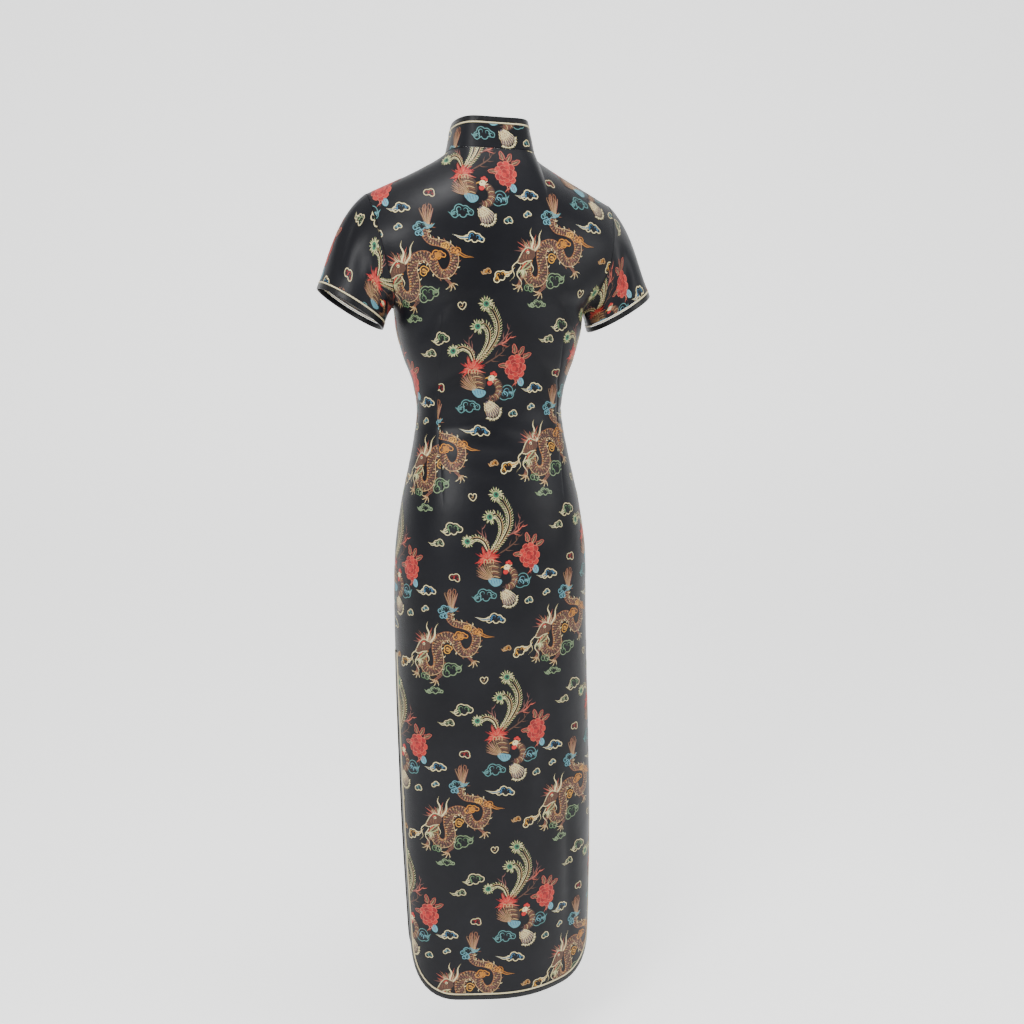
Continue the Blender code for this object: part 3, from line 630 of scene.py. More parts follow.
@dataclass(frozen=True)
class WrongSideFinish:
    """The brocade's wrong side, where the figures' silks cross as loose matte floats."""

    name: str = "brocade_wrong_side"
    ground: Colour = (0.010, 0.010, 0.012)
    floats: Colour = (0.16, 0.085, 0.05)
    pale: Colour = (0.22, 0.19, 0.12)

    def build(self) -> bpy.types.Material:
        """Makes the material."""
        shader = Shader(self.name)
        place = shader.cloth_place()
        lines = shader.noise(shader.stretched(place, 14.0, 900.0), 1.0, 3.0)
        areas = shader.noise(place, 22.0, 2.0)
        mask = (lines.ramp(0.46, 0.60) * areas.ramp(0.42, 0.56)).clamp(0.0, 1.0)
        silk = shader.blend(shader.noise(place, 60.0).ramp(0.4, 0.6), rgba(self.floats), rgba(self.pale))
        shader.set(Base_Color=shader.blend(mask, rgba(self.ground), silk), Roughness=0.62)
        shader.bump(mask + 0.3 * lines, 0.0002, 0.6)
        return shader.material


@dataclass(frozen=True)
class FigureFinish:
    """The woven figures: silk floats in the colours that the pieces carry, with painted shade in the grooves
    between the weft threads.
    """

    name: str = "figured_silk"
    attribute: str = "silk"

    def build(self) -> bpy.types.Material:
        """Makes the material."""
        shader = Shader(self.name)
        place = shader.cloth_place()
        silk = shader.node("ShaderNodeVertexColor", {"layer_name": self.attribute}, {}).outputs[0]
        streak = shader.noise(shader.stretched(place, 250.0, 1700.0), 1.0, 2.0)
        # Painted shade: a copy of the silk darkened to about half, mixed in where the streak bump sinks
        # between the weft threads
        shaded_silk = shader.blend(1.0, silk, (0.55, 0.53, 0.52, 1.0), "MULTIPLY")
        shader.set(
            Base_Color=shader.blend(streak.ramp(0.30, 0.62), shaded_silk, silk),
            Roughness=0.46 + 0.12 * streak,
            Specular_IOR_Level=0.22,
            Sheen_Weight=0.02,
        )
        shader.bump(streak, 0.0002, 0.5)
        return shader.material


@dataclass(frozen=True)
class BindingFinish:
    """Black satin cut on the bias and folded over the edge."""

    name: str = "black_satin_binding"
    colour: Colour = (0.0026, 0.0027, 0.0035)

    def build(self) -> bpy.types.Material:
        """Makes the material."""
        shader = Shader(self.name)
        place = shader.cloth_place()
        drag = shader.noise(shader.stretched(place, 260.0, 90.0), 1.0, 3.0)
        grain = shader.wave(place, 700.0, "DIAGONAL")
        shader.set(
            Base_Color=shader.blend(drag.ramp(0.4, 0.7), rgba(self.colour), (0.006, 0.0062, 0.0075, 1.0)),
            Roughness=0.32 + 0.12 * drag,
            Specular_IOR_Level=0.2,
            Sheen_Weight=0.02,
        )
        shader.bump(drag * 0.9 + grain * 0.06, 0.0006, 0.6)
        return shader.material


@dataclass(frozen=True)
class PipingFinish:
    """Cream satin round a fine filler cord."""

    name: str = "cream_satin_piping"
    colour: Colour = (0.62, 0.55, 0.33)
    shade: Colour = (0.44, 0.37, 0.20)

    def build(self) -> bpy.types.Material:
        """Makes the material."""
        shader = Shader(self.name)
        place = shader.cloth_place()
        twist = shader.wave(place, 420.0, "DIAGONAL")
        drag = shader.noise(place, 300.0, 2.0)
        shade = (drag.ramp(0.35, 0.7) * 0.6 + twist * 0.4).clamp(0.0, 1.0)
        shader.set(Base_Color=shader.blend(shade, rgba(self.shade), rgba(self.colour)), Roughness=0.48)
        shader.bump(twist * 0.7 + drag * 0.5, 0.0002, 0.7)
        return shader.material


@dataclass(frozen=True)
class CordFinish:
    """Black satin tube, turned and sewn into cord."""

    name: str = "black_satin_cord"
    colour: Colour = (0.004, 0.0044, 0.0055)

    def build(self) -> bpy.types.Material:
        """Makes the material."""
        shader = Shader(self.name)
        place = shader.cloth_place()
        twist = shader.wave(place, 300.0, "DIAGONAL")
        drag = shader.noise(place, 420.0, 2.0)
        colour = shader.blend(drag.ramp(0.4, 0.7), rgba(self.colour), (0.010, 0.0105, 0.012, 1.0))
        shader.set(Base_Color=colour, Roughness=0.34 + 0.14 * drag)
        shader.set(Specular_IOR_Level=0.25, Sheen_Weight=0.03)
        shader.bump(twist * 0.6 + drag * 0.5, 0.0003, 0.7)
        return shader.material


@dataclass(frozen=True)
class BackdropFinish:
    """The plain pale studio floor."""

    name: str = "studio_paper"
    colour: Colour = (0.90, 0.90, 0.895)

    def build(self) -> bpy.types.Material:
        """Makes the material."""
        shader = Shader(self.name)
        place = shader.node("ShaderNodeTexCoord", {}, {}).outputs["Object"]
        tone = shader.noise(place, 1.5, 2.0)
        shade = tuple(0.98 * c for c in self.colour)
        shader.set(Base_Color=shader.blend(tone, rgba(self.colour), rgba(shade)), Roughness=0.85)
        shader.set(Emission_Color=(1.0, 1.0, 1.0, 1.0), Emission_Strength=0.7)
        return shader.material


class Finishes:
    """Each finish's material, made once."""

    def __init__(self) -> None:
        """Starts with none made."""
        self._made: dict[str, bpy.types.Material] = {}

    def get(self, finish: Any) -> bpy.types.Material:
        """The material of a finish."""
        if finish.name not in self._made:
            self._made[finish.name] = finish.build()
        return self._made[finish.name]


FINISHES = Finishes()
CLOTH_FACES = (SatinFinish(), WrongSideFinish())


# Pieces


def mesh_of(bm: bmesh.types.BMesh, name: str) -> bpy.types.Mesh:
    """Turns a bmesh into a mesh and frees it."""
    mesh = bpy.data.meshes.new(name)
    bm.to_mesh(mesh)
    bm.free()
    return mesh


def finish_piece(
    name: str, mesh: bpy.types.Mesh, finishes: Sequence[Any], nodes: Sequence[str]
) -> bpy.types.Object:
    """Makes a piece of a mesh, gives it its finishes and fixes it to the part.

    Args:
        name: the piece's name.
        mesh: its mesh, in place.
        finishes: its finishes, in the order of its faces' material indices.
        nodes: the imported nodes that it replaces.

    Returns:
        The piece.
    """
    for finish in finishes:
        mesh.materials.append(FINISHES.get(finish))
    mesh.shade_smooth()
    piece = bpy.data.objects.new(name, mesh)
    bpy.context.scene.collection.objects.link(piece)
    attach(piece, "root")
    if nodes:
        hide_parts(*nodes)
    log.info("%s: %d faces", name, len(mesh.polygons))
    return piece


def wall(
    name: str,
    points: Array,
    normals: Array,
    cloth: Array,
    finishes: Sequence[Any],
    nodes: Sequence[str],
    outer: Any = 0.0,
    inner: Any = -WALL,
    closed: bool = False,
    sharp: float = 40.0,
) -> bpy.types.Object:
    """A wall of cloth over a grid of points.

    Args:
        name: the piece's name.
        points: the grid, rows by columns, with columns to the right as seen from outside.
        normals: the outward unit normals there.
        cloth: the places on the flat cloth, in metres.
        finishes: the outer face's finish, then the inner face's.
        nodes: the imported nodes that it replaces.
        outer: how far the outer face stands out from the points.
        inner: how far the inner face stands out from them.
        closed: whether the last column joins the first.
        sharp: the angle in degrees from which an edge is sharp.

    Returns:
        The piece.
    """
    rows, columns = points.shape[:2]
    outs = [np.broadcast_to(out, (rows, columns))[..., None] for out in (outer, inner)]
    outside, inside = ((points + normals * out).reshape(-1, 3) for out in outs)
    flat = np.broadcast_to(cloth, (rows, columns, 2)).reshape(-1, 2)
    bm = bmesh.new()
    bmesh.ops.create_grid(bm, x_segments=columns - 1, y_segments=rows - 1, size=0.5)
    place = bm.verts.layers.int.new("place")
    for i, vert in enumerate(bm.verts):
        vert[place] = i
        vert.co = outside[i]
    uv = bm.loops.layers.uv.new("cloth")
    for face in bm.faces:
        for loop in face.loops:
            loop[uv].uv = flat[loop.vert[place]]
    if closed:
        bmesh.ops.remove_doubles(bm, verts=bm.verts, dist=MERGE)
    made = bmesh.ops.extrude_face_region(bm, geom=bm.faces[:], use_keep_orig=True)
    for item in made["geom"]:
        if isinstance(item, bmesh.types.BMVert):
            item.co = inside[item[place]]
        elif isinstance(item, bmesh.types.BMFace):
            item.material_index = len(finishes) - 1
    bmesh.ops.recalc_face_normals(bm, faces=bm.faces)
    bm.verts.layers.int.remove(place)
    mesh = mesh_of(bm, name)
    piece = finish_piece(name, mesh, finishes, nodes)
    mesh.set_sharp_from_angle(angle=math.radians(sharp))
    return piece


# Cloth: places on the flat cut, in metres to the right and up as seen from outside, laid on the form


class Crease(NamedTuple):
    """A soft trough, or a ridge if deep is below 0: its middle on the flat cloth, turn and size."""

    right: float
    height: float
    turn: float
    length: float
    width: float
    deep: float


BACK_CREASES = (
    Crease(-0.070, -0.415, 8.0, 0.075, 0.011, 0.0030),
    Crease(-0.020, -0.440, -3.0, 0.080, 0.012, 0.0026),
    Crease(0.055, -0.428, -9.0, 0.070, 0.010, 0.0030),
    Crease(0.030, -0.465, 5.0, 0.090, 0.012, -0.0018),
    Crease(-0.050, -0.475, -6.0, 0.080, 0.014, 0.0020),
    Crease(-0.085, -0.345, 30.0, 0.050, 0.010, 0.0022),
    Crease(0.088, -0.340, -32.0, 0.050, 0.010, 0.0022),
    Crease(-0.105, -0.255, 52.0, 0.055, 0.010, 0.0026),
    Crease(0.108, -0.250, -50.0, 0.055, 0.011, 0.0026),
    Crease(-0.060, -0.150, 64.0, 0.060, 0.014, 0.0014),
    Crease(0.070, -0.140, -60.0, 0.060, 0.015, 0.0014),
    Crease(0.118, -0.405, -4.0, 0.022, 0.004, 0.0016),
    Crease(0.120, -0.392, 6.0, 0.020, 0.004, 0.0016),
    Crease(0.117, -0.418, -10.0, 0.022, 0.004, 0.0015),
    Crease(-0.095, -0.760, 82.0, 0.120, 0.016, 0.0022),
    Crease(0.060, -0.900, 88.0, 0.200, 0.020, 0.0026),
    Crease(-0.020, -1.080, 86.0, 0.180, 0.022, 0.0026),
    Crease(0.105, -1.120, 92.0, 0.150, 0.015, 0.0022),
    Crease(-0.085, -1.150, 94.0, 0.130, 0.016, -0.0020),
)
FRONT_CREASES = (
    Crease(-0.060, -0.420, -7.0, 0.075, 0.011, 0.0026),
    Crease(0.045, -0.435, 5.0, 0.080, 0.012, 0.0028),
    Crease(0.000, -0.470, -3.0, 0.090, 0.013, 0.0020),
    Crease(0.080, -0.350, 28.0, 0.045, 0.010, 0.0020),
    Crease(-0.082, -0.350, -30.0, 0.045, 0.010, 0.0020),
    Crease(0.110, -0.240, -48.0, 0.050, 0.010, 0.0026),
    Crease(-0.112, -0.235, 46.0, 0.045, 0.009, 0.0020),
    Crease(0.080, -0.120, -62.0, 0.055, 0.012, 0.0016),
    Crease(0.020, -0.330, 86.0, 0.050, 0.016, 0.0016),
    Crease(-0.050, -0.850, 87.0, 0.180, 0.020, 0.0024),
    Crease(0.070, -0.950, 92.0, 0.200, 0.019, 0.0024),
    Crease(0.010, -1.130, 89.0, 0.160, 0.022, 0.0026),
    Crease(-0.100, -1.120, 86.0, 0.140, 0.015, 0.0020),
)


# How far a crease bows along its length, how it fades there, and how deep it is cut
CREASE_BOW = 0.6
CREASE_FADE = 1.6
CREASE_CUT = 1.3


def creased(creases: Sequence[Crease], right: Any, height: Any) -> Array:
    """How far the creases move the cloth out, at places on it."""
    moved = np.zeros(np.broadcast(right, height).shape)
    for crease in creases:
        c, s = turned(crease.turn)
        across, up = right - crease.right, height - crease.height
        along, beside = (across * c + up * s) / crease.length, (up * c - across * s) / crease.width
        bow = beside - CREASE_BOW * along**2
        moved = moved - CREASE_CUT * crease.deep * np.exp(-(along**2) * CREASE_FADE - bow**2)
    return moved


class Dart(NamedTuple):
    """A waist dart to each side: its place across, its ends and widest level, and the cloth it takes."""

    across: float
    top: float
    widest: float
    bottom: float
    take: float


BACK_DART = Dart(0.094, -0.246, -0.392, -0.528, 0.022)
FRONT_DART = Dart(0.084, -0.285, -0.395, -0.500, 0.018)
DART_GROOVE = 0.0012
DART_DEPTH = 0.0011

# The way from a cut's edge over which its folds fade out
SEAM_CALM = 0.018

# Where the columns of a panel's grid leave the even spread of the hem for the darts
COLUMN_BEND = (-0.75, -0.56)
HEM_COLUMN_SHARE = 0.55


def dart_share(dart: Dart, height: Any) -> Array:
    """How wide a dart is at heights, from 0 at its ends to 1 at its widest level."""
    return np.interp(height, (dart.bottom, dart.widest, dart.top), (0.0, 1.0, 0.0))


class Cut(Enum):
    """The body's three cuts."""

    BACK = "back"
    FRONT = "front"
    UNDER = "under_front"


def shoulder_reach(height: Any) -> Array:
    """How far across the shoulder seam is at heights above its tip, and the neck seam above its side."""
    across = np.linspace(NECK_HALF_WIDTH, SHOULDER_HALF_WIDTH, CURVE_SAMPLES)
    return np.interp(-np.asarray(height), -ridge_height(across), across)


def flap_curve() -> tuple[Array, Array]:
    """The flap's edge from the side seam to the neck, and the direction in which it runs."""
    places = np.arange(len(FLAP_EDGE))
    length_along = smooth_curve(places, [p.length for p in FLAP_EDGE])
    height_along = smooth_curve(places, [p.height for p in FLAP_EDGE])
    along = np.linspace(places[-1], 0, CURVE_SAMPLES)
    line = np.column_stack((length_along(along), height_along(along)))
    run = np.gradient(line, axis=0)
    return line, run / np.linalg.norm(run, axis=1)[:, None]


def flap_line(inset: float, count: int) -> tuple[Array, Array]:
    """The flap's edge moved into the flap by an inset, cut off at the side seam and the neck seam."""
    line, run = flap_curve()
    line = line + inset * np.column_stack((run[:, 1], -run[:, 0]))
    line = np.vstack((line[0] - FLAP_EXTENSION * run[0], line, line[-1] + FLAP_EXTENSION * run[-1]))
    reach = running_length(line)
    low, high = np.split(np.linspace(0, reach[-1], CURVE_SAMPLES * 4), 2)
    before_side = np.interp(low, reach, line[:, 0]) + side_length(FRONT, np.interp(low, reach, line[:, 1]))
    over_neck = np.interp(high, reach, line[:, 1])
    over_neck = over_neck - neckline_height(np.interp(high, reach, line[:, 0]), FRONT)
    chosen = np.linspace(np.interp(0, before_side, low), np.interp(0, over_neck, high), count + 1)
    return np.interp(chosen, reach, line[:, 0]), np.interp(chosen, reach, line[:, 1])


@dataclass
class BodyCloth:
    """The cloth of one of the body's cuts."""

    cut: Cut
    dart: Dart = BACK_DART
    creases: Sequence[Crease] = BACK_CREASES
    margin: float = 0.0004
    side: int = field(init=False)

    def __post_init__(self) -> None:
        """Works out the cut's edges as lengths from the middle at a row of heights."""
        self.side = BACK if self.cut is Cut.BACK else FRONT
        bottom = HEM + EDGING
        top = -BACK_NECK_DROP if self.side == BACK else -NECK_SIDE_DROP
        heights = np.linspace(bottom, top, LEVEL_SAMPLES)
        radius = HEM_CORNER - EDGING
        turn = np.arccos(np.clip(1 - (heights - bottom) / radius, 0, 1))
        inset = EDGING + SLIT_SPREAD * (SLIT_TOP - heights) / (SLIT_TOP - HEM) + radius * (1 - np.sin(turn))
        inset = np.where(heights < SLIT_TOP, inset, 0.0)
        ends = side_length(self.side, heights)
        seam = length_at(self.side, armhole_angle(heights), heights)
        shoulder = length_across(self.side, shoulder_reach(heights), heights)
        upper = np.where(heights < SHOULDER_TIP, seam, shoulder)
        outer = np.where(heights < UNDERARM, ends - inset, upper)
        low, high = -outer, outer.copy()
        if self.side == FRONT:
            down = (-NECK_SIDE_DROP - heights) / (FRONT_NECK_DROP - NECK_SIDE_DROP)
            opening = NECK_HALF_WIDTH * np.sqrt(1 - np.clip(down, 0, 1) ** (1 / FRONT_NECK_ROUNDNESS))
            opening = length_across(FRONT, opening, heights)
            lengths, levels = flap_line(EDGING if self.cut is Cut.FRONT else -FLAP_GAP, CURVE_SAMPLES)
            flap = np.interp(heights, levels, lengths)
            in_neck = heights > -FRONT_NECK_DROP
            if self.cut is Cut.FRONT:
                low = np.where(heights > levels[0], flap, low)
                low = np.where(in_neck, np.maximum(low, opening), low)
            else:
                high = np.where(in_neck, np.minimum(flap, -opening), flap)
                high = np.where(heights < levels[0], low, high)
        self.heights, self.low, self.high = heights, low + self.margin, high - self.margin

    def reach(self) -> tuple[Array, Array]:
        """The lowest and highest corners of the cut on the flat cloth."""
        spread = max(np.abs(self.low).max(), np.abs(self.high).max()) + self.dart.take
        bottom = self.heights[0] if self.cut is not Cut.UNDER else UNDERARM - UNDER_REACH
        return np.array((-spread, bottom)), np.array((spread, self.heights[-1]))

    def hold(self, flat: Array) -> tuple[Array, Array]:
        """Takes out the darts' cloth and moves places that pass the cut's edge onto it.

        Args:
            flat: places on the uncut cloth.

        Returns:
            The places on the sewn cloth, and which of them were moved onto an edge.
        """
        right, height = flat[:, 0].copy(), flat[:, 1]
        height = np.clip(height, self.heights[0], self.heights[-1])
        at = length_across(self.side, self.dart.across, height)
        take = self.dart.take * dart_share(self.dart, height)
        beyond = np.abs(right) - at
        hidden = (beyond > 0) & (beyond < take)
        right = np.sign(right) * np.where(beyond > 0, at + np.maximum(beyond - take, 0), np.abs(right))
        length = -self.side * right
        low, high = (np.interp(height, self.heights, edge) for edge in (self.low, self.high))
        held = np.clip(length, low, np.maximum(low, high))
        moved = hidden | (held != length) | (height != flat[:, 1])
        return np.column_stack((-self.side * held, height)), moved

    def lift_at(self, angle: Array, height: Array) -> Array:
        """How far folds and dart seams move the cloth out at angles and heights."""
        x = half_width_at(height) * np.sin(angle)
        right = -self.side * length_at(self.side, angle, height)
        folds = creased(self.creases, right, height)
        calm = np.interp(np.abs(self._seam_room(angle, height)), (0.0, SEAM_CALM), (0.0, 1.0))
        share = np.sqrt(dart_share(self.dart, height))
        groove = DART_DEPTH * share * np.exp(-(((np.abs(x) - self.dart.across) / DART_GROOVE) ** 2))
        return folds * calm - groove

    def _seam_room(self, angle: Array, height: Array) -> Array:
        """The cloth's length from places to the nearest edge of the cut."""
        length = length_at(self.side, angle, height)
        low, high = (np.interp(height, self.heights, edge) for edge in (self.low, self.high))
        sides = np.minimum(length - low, high - length)
        return np.maximum(np.minimum(sides, np.maximum(height - self.heights[0], 0)), 0)

    def lay(self, flat: Array, lift: Any) -> Array:
        """The points of places on the sewn cloth, a little above it."""
        angle, height = angle_at(self.side, -self.side * flat[:, 0], flat[:, 1]), flat[:, 1]
        out = self.lift_at(angle, height) + lift
        return body_point(self.side, angle, height) + body_normals(self.side, angle, height) * out[:, None]

    def panel(self, name: str, angles: Array, heights: Array, nodes: Sequence[str]) -> bpy.types.Object:
        """The cut's own wall of cloth, over a grid of angles and heights."""
        points, normals = body_point(self.side, angles, heights), body_normals(self.side, angles, heights)
        cloth = np.dstack((-self.side * length_at(self.side, angles, heights), heights))
        lift = self.lift_at(angles, heights)
        return wall(
            name, points, normals, cloth, CLOTH_FACES, nodes,
            outer=lift, inner=lift - WALL, sharp=CLOTH_SHARP,
        )


# The woven figures


@dataclass(frozen=True)
class Pen:
    """Draws silk floats in the plane, in centimetres, as small grids of one mesh."""

    bm: bmesh.types.BMesh
    rng: np.random.Generator
    x: float = 0.0
    y: float = 0.0
    turn: float = 0.0
    size: float = 1.0
    level: float = 0.0

    def moved(self, x: float, y: float, turn: float = 0.0, size: float = 1.0, level: float = 0.0) -> "Pen":
        """A pen whose drawing is moved, turned by degrees, sized and raised by some levels."""
        at = self.place(np.array(((x, y),)))[0]
        return Pen(self.bm, self.rng, at[0], at[1], self.turn + turn, self.size * size, self.level + level)

    def place(self, points: Array) -> Array:
        """Points of this pen's drawing on the whole sheet."""
        c, s = turned(self.turn)
        return self.size * points @ np.array(((c, s), (-s, c))) + (self.x, self.y)

    def patch(self, left: Array, right: Array, silk: Thread, level: float, across: int = 1) -> None:
        """Fills the strip between two edges that run the same way.

        Args:
            left: the left edge's points, looking along it.
            right: the right edge's, as many.
            silk: the thread.
            level: which layer of floats it lies in.
            across: the number of faces across it.
        """
        left, right = self.place(left), self.place(right)
        made = bmesh.ops.create_grid(self.bm, x_segments=across, y_segments=len(left) - 1, size=0.5)
        tint = 1 + self.rng.uniform(-0.14, 0.14)
        colour = (*(min(1.0, c * tint) for c in silk.value), 1.0)
        layer = self.bm.verts.layers.float_color["silk"]
        shares = np.linspace(0, 1, across + 1)[None, :, None]
        flat = mix(left[:, None], right[:, None], shares).reshape(-1, 2)
        level = self.level + level + self.rng.uniform(0, 0.4)
        for vert, (x, y) in zip(made["verts"], flat):
            vert.co = (x, y, level)
            vert[layer] = colour

    def line(
        self,
        points: Points,
        width: float,
        silk: Thread,
        level: float = 1.0,
        start: float = 0.0,
        end: float = 0.0,
        step: float = 0.22,
        closed: bool = False,
    ) -> None:
        """Draws a smooth line.

        Args:
            points: the places that it passes.
            width: its full width.
            silk: the thread.
            level: which layer of floats it lies in.
            start: the share of its length over which it widens from a point.
            end: the share over which it narrows to one.
            step: the length of its faces.
            closed: whether it comes back to its start.
        """
        line = catmull(points, step, closed)
        beside = across_line(line)
        if closed:
            beside[0] = beside[-1] = unit(beside[0] + beside[-1])
        t = np.linspace(0, 1, len(line))
        grown = np.minimum(t / max(start, 1e-6) + (start == 0), (1 - t) / max(end, 1e-6) + (end == 0))
        half = width / 2 * np.clip(grown, 0.06, 1)[:, None]
        self.patch(line + beside * half, line - beside * half, silk, level)

    def blot(self, points: Points, silk: Thread, level: float = 0.0, rings: int = 2) -> None:
        """Fills a closed smooth outline, given counter-clockwise, that its middle sees whole."""
        outline = catmull(points, 0.3, closed=True)
        middle = np.repeat(outline.mean(axis=0)[None], len(outline), axis=0)
        self.patch(mix(outline, middle, 0.97), outline, silk, level, rings)

    def dot(self, x: float, y: float, radius: float, silk: Thread, level: float = 2.0) -> None:
        """A filled round dot."""
        turns = np.linspace(0, 2 * math.pi, 9)[:, None]
        ring = np.hstack((np.cos(turns), np.sin(turns)))
        self.patch((x, y) + ring * radius * 0.05, (x, y) + ring * radius, silk, level)

    def rays(
        self,
        spread: tuple[float, float],
        count: int,
        reach: tuple[float, float],
        width: float,
        silks: Sequence[Thread],
        level: float = 1.0,
        inner: float = 0.2,
        bend: float = 18.0,
    ) -> None:
        """Draws tapering strokes that fan out from the pen's place.

        Args:
            spread: the first and last direction, in degrees.
            count: how many there are.
            reach: their least and greatest length.
            width: each stroke's width.
            silks: the threads, taken in turn.
            level: which layer of floats they lie in.
            inner: how far from the middle they start.
            bend: the most by which they turn, in degrees.
        """
        for i, angle in enumerate(np.linspace(*spread, count)):
            angle = math.radians(angle + self.rng.uniform(-3, 3))
            length = self.rng.uniform(*reach)
            curve = math.radians(self.rng.uniform(-bend, bend))
            turns = angle + curve * np.array((0.0, 0.5, 1.2))
            radii = np.array((inner, 0.5 * length, length))
            points = np.column_stack((radii * np.cos(turns), radii * np.sin(turns)))
            silk, layer = silks[i % len(silks)], level + 0.3 * (i % 3)
            self.line(points, width, silk, layer, start=0.15, end=0.55, step=0.45)


class Cloud(NamedTuple):
    """A small cloud: its middle, size, turn, silks, and how far its tail trails to the left or right."""

    x: float
    y: float
    wide: float
    high: float
    turn: float
    outline: Thread
    inside: Thread
    tail: float


SCATTERED_CLOUDS = (
    Cloud(-5.0, 4.3, 2.6, 2.0, 12.0, Thread.CREAM, Thread.LEAF, -0.9),
    Cloud(-7.2, 2.2, 1.8, 1.2, 4.0, Thread.CREAM, Thread.SAGE, -1.0),
    Cloud(9.7, -2.8, 2.4, 1.6, 6.0, Thread.CREAM, Thread.BLUE, -1.2),
    Cloud(6.3, -6.6, 1.3, 1.1, 10.0, Thread.CREAM, Thread.TEAL, 0.0),
    Cloud(1.2, -9.1, 2.8, 1.7, -4.0, Thread.CREAM, Thread.BLUE, -2.0),
    Cloud(3.0, -13.8, 1.3, 0.9, 8.0, Thread.SAND, Thread.GOLD, -0.4),
    Cloud(5.0, -14.4, 2.3, 1.6, 28.0, Thread.CREAM, Thread.AMBER, 1.5),
    Cloud(-4.9, -2.8, 1.8, 1.3, -12.0, Thread.CREAM, Thread.CRIMSON, 0.0),
    Cloud(9.2, -5.6, 1.4, 0.9, 24.0, Thread.CREAM, Thread.SKY, 0.0),
)


# A cloud's puffs, as shares of its width and height, and their radii as shares of its height
LARGE_PUFFS = (
    (-0.33, -0.10, 0.27), (-0.10, 0.16, 0.33), (0.17, 0.06, 0.29), (0.38, -0.12, 0.22), (0.03, -0.17, 0.24),
)
SMALL_PUFFS = ((-0.20, -0.02, 0.34), (0.12, 0.12, 0.36), (0.26, -0.12, 0.26))
LARGE_CLOUD = 1.9
PLUME_SILKS = (Thread.CREAM, Thread.PALE_GREEN)


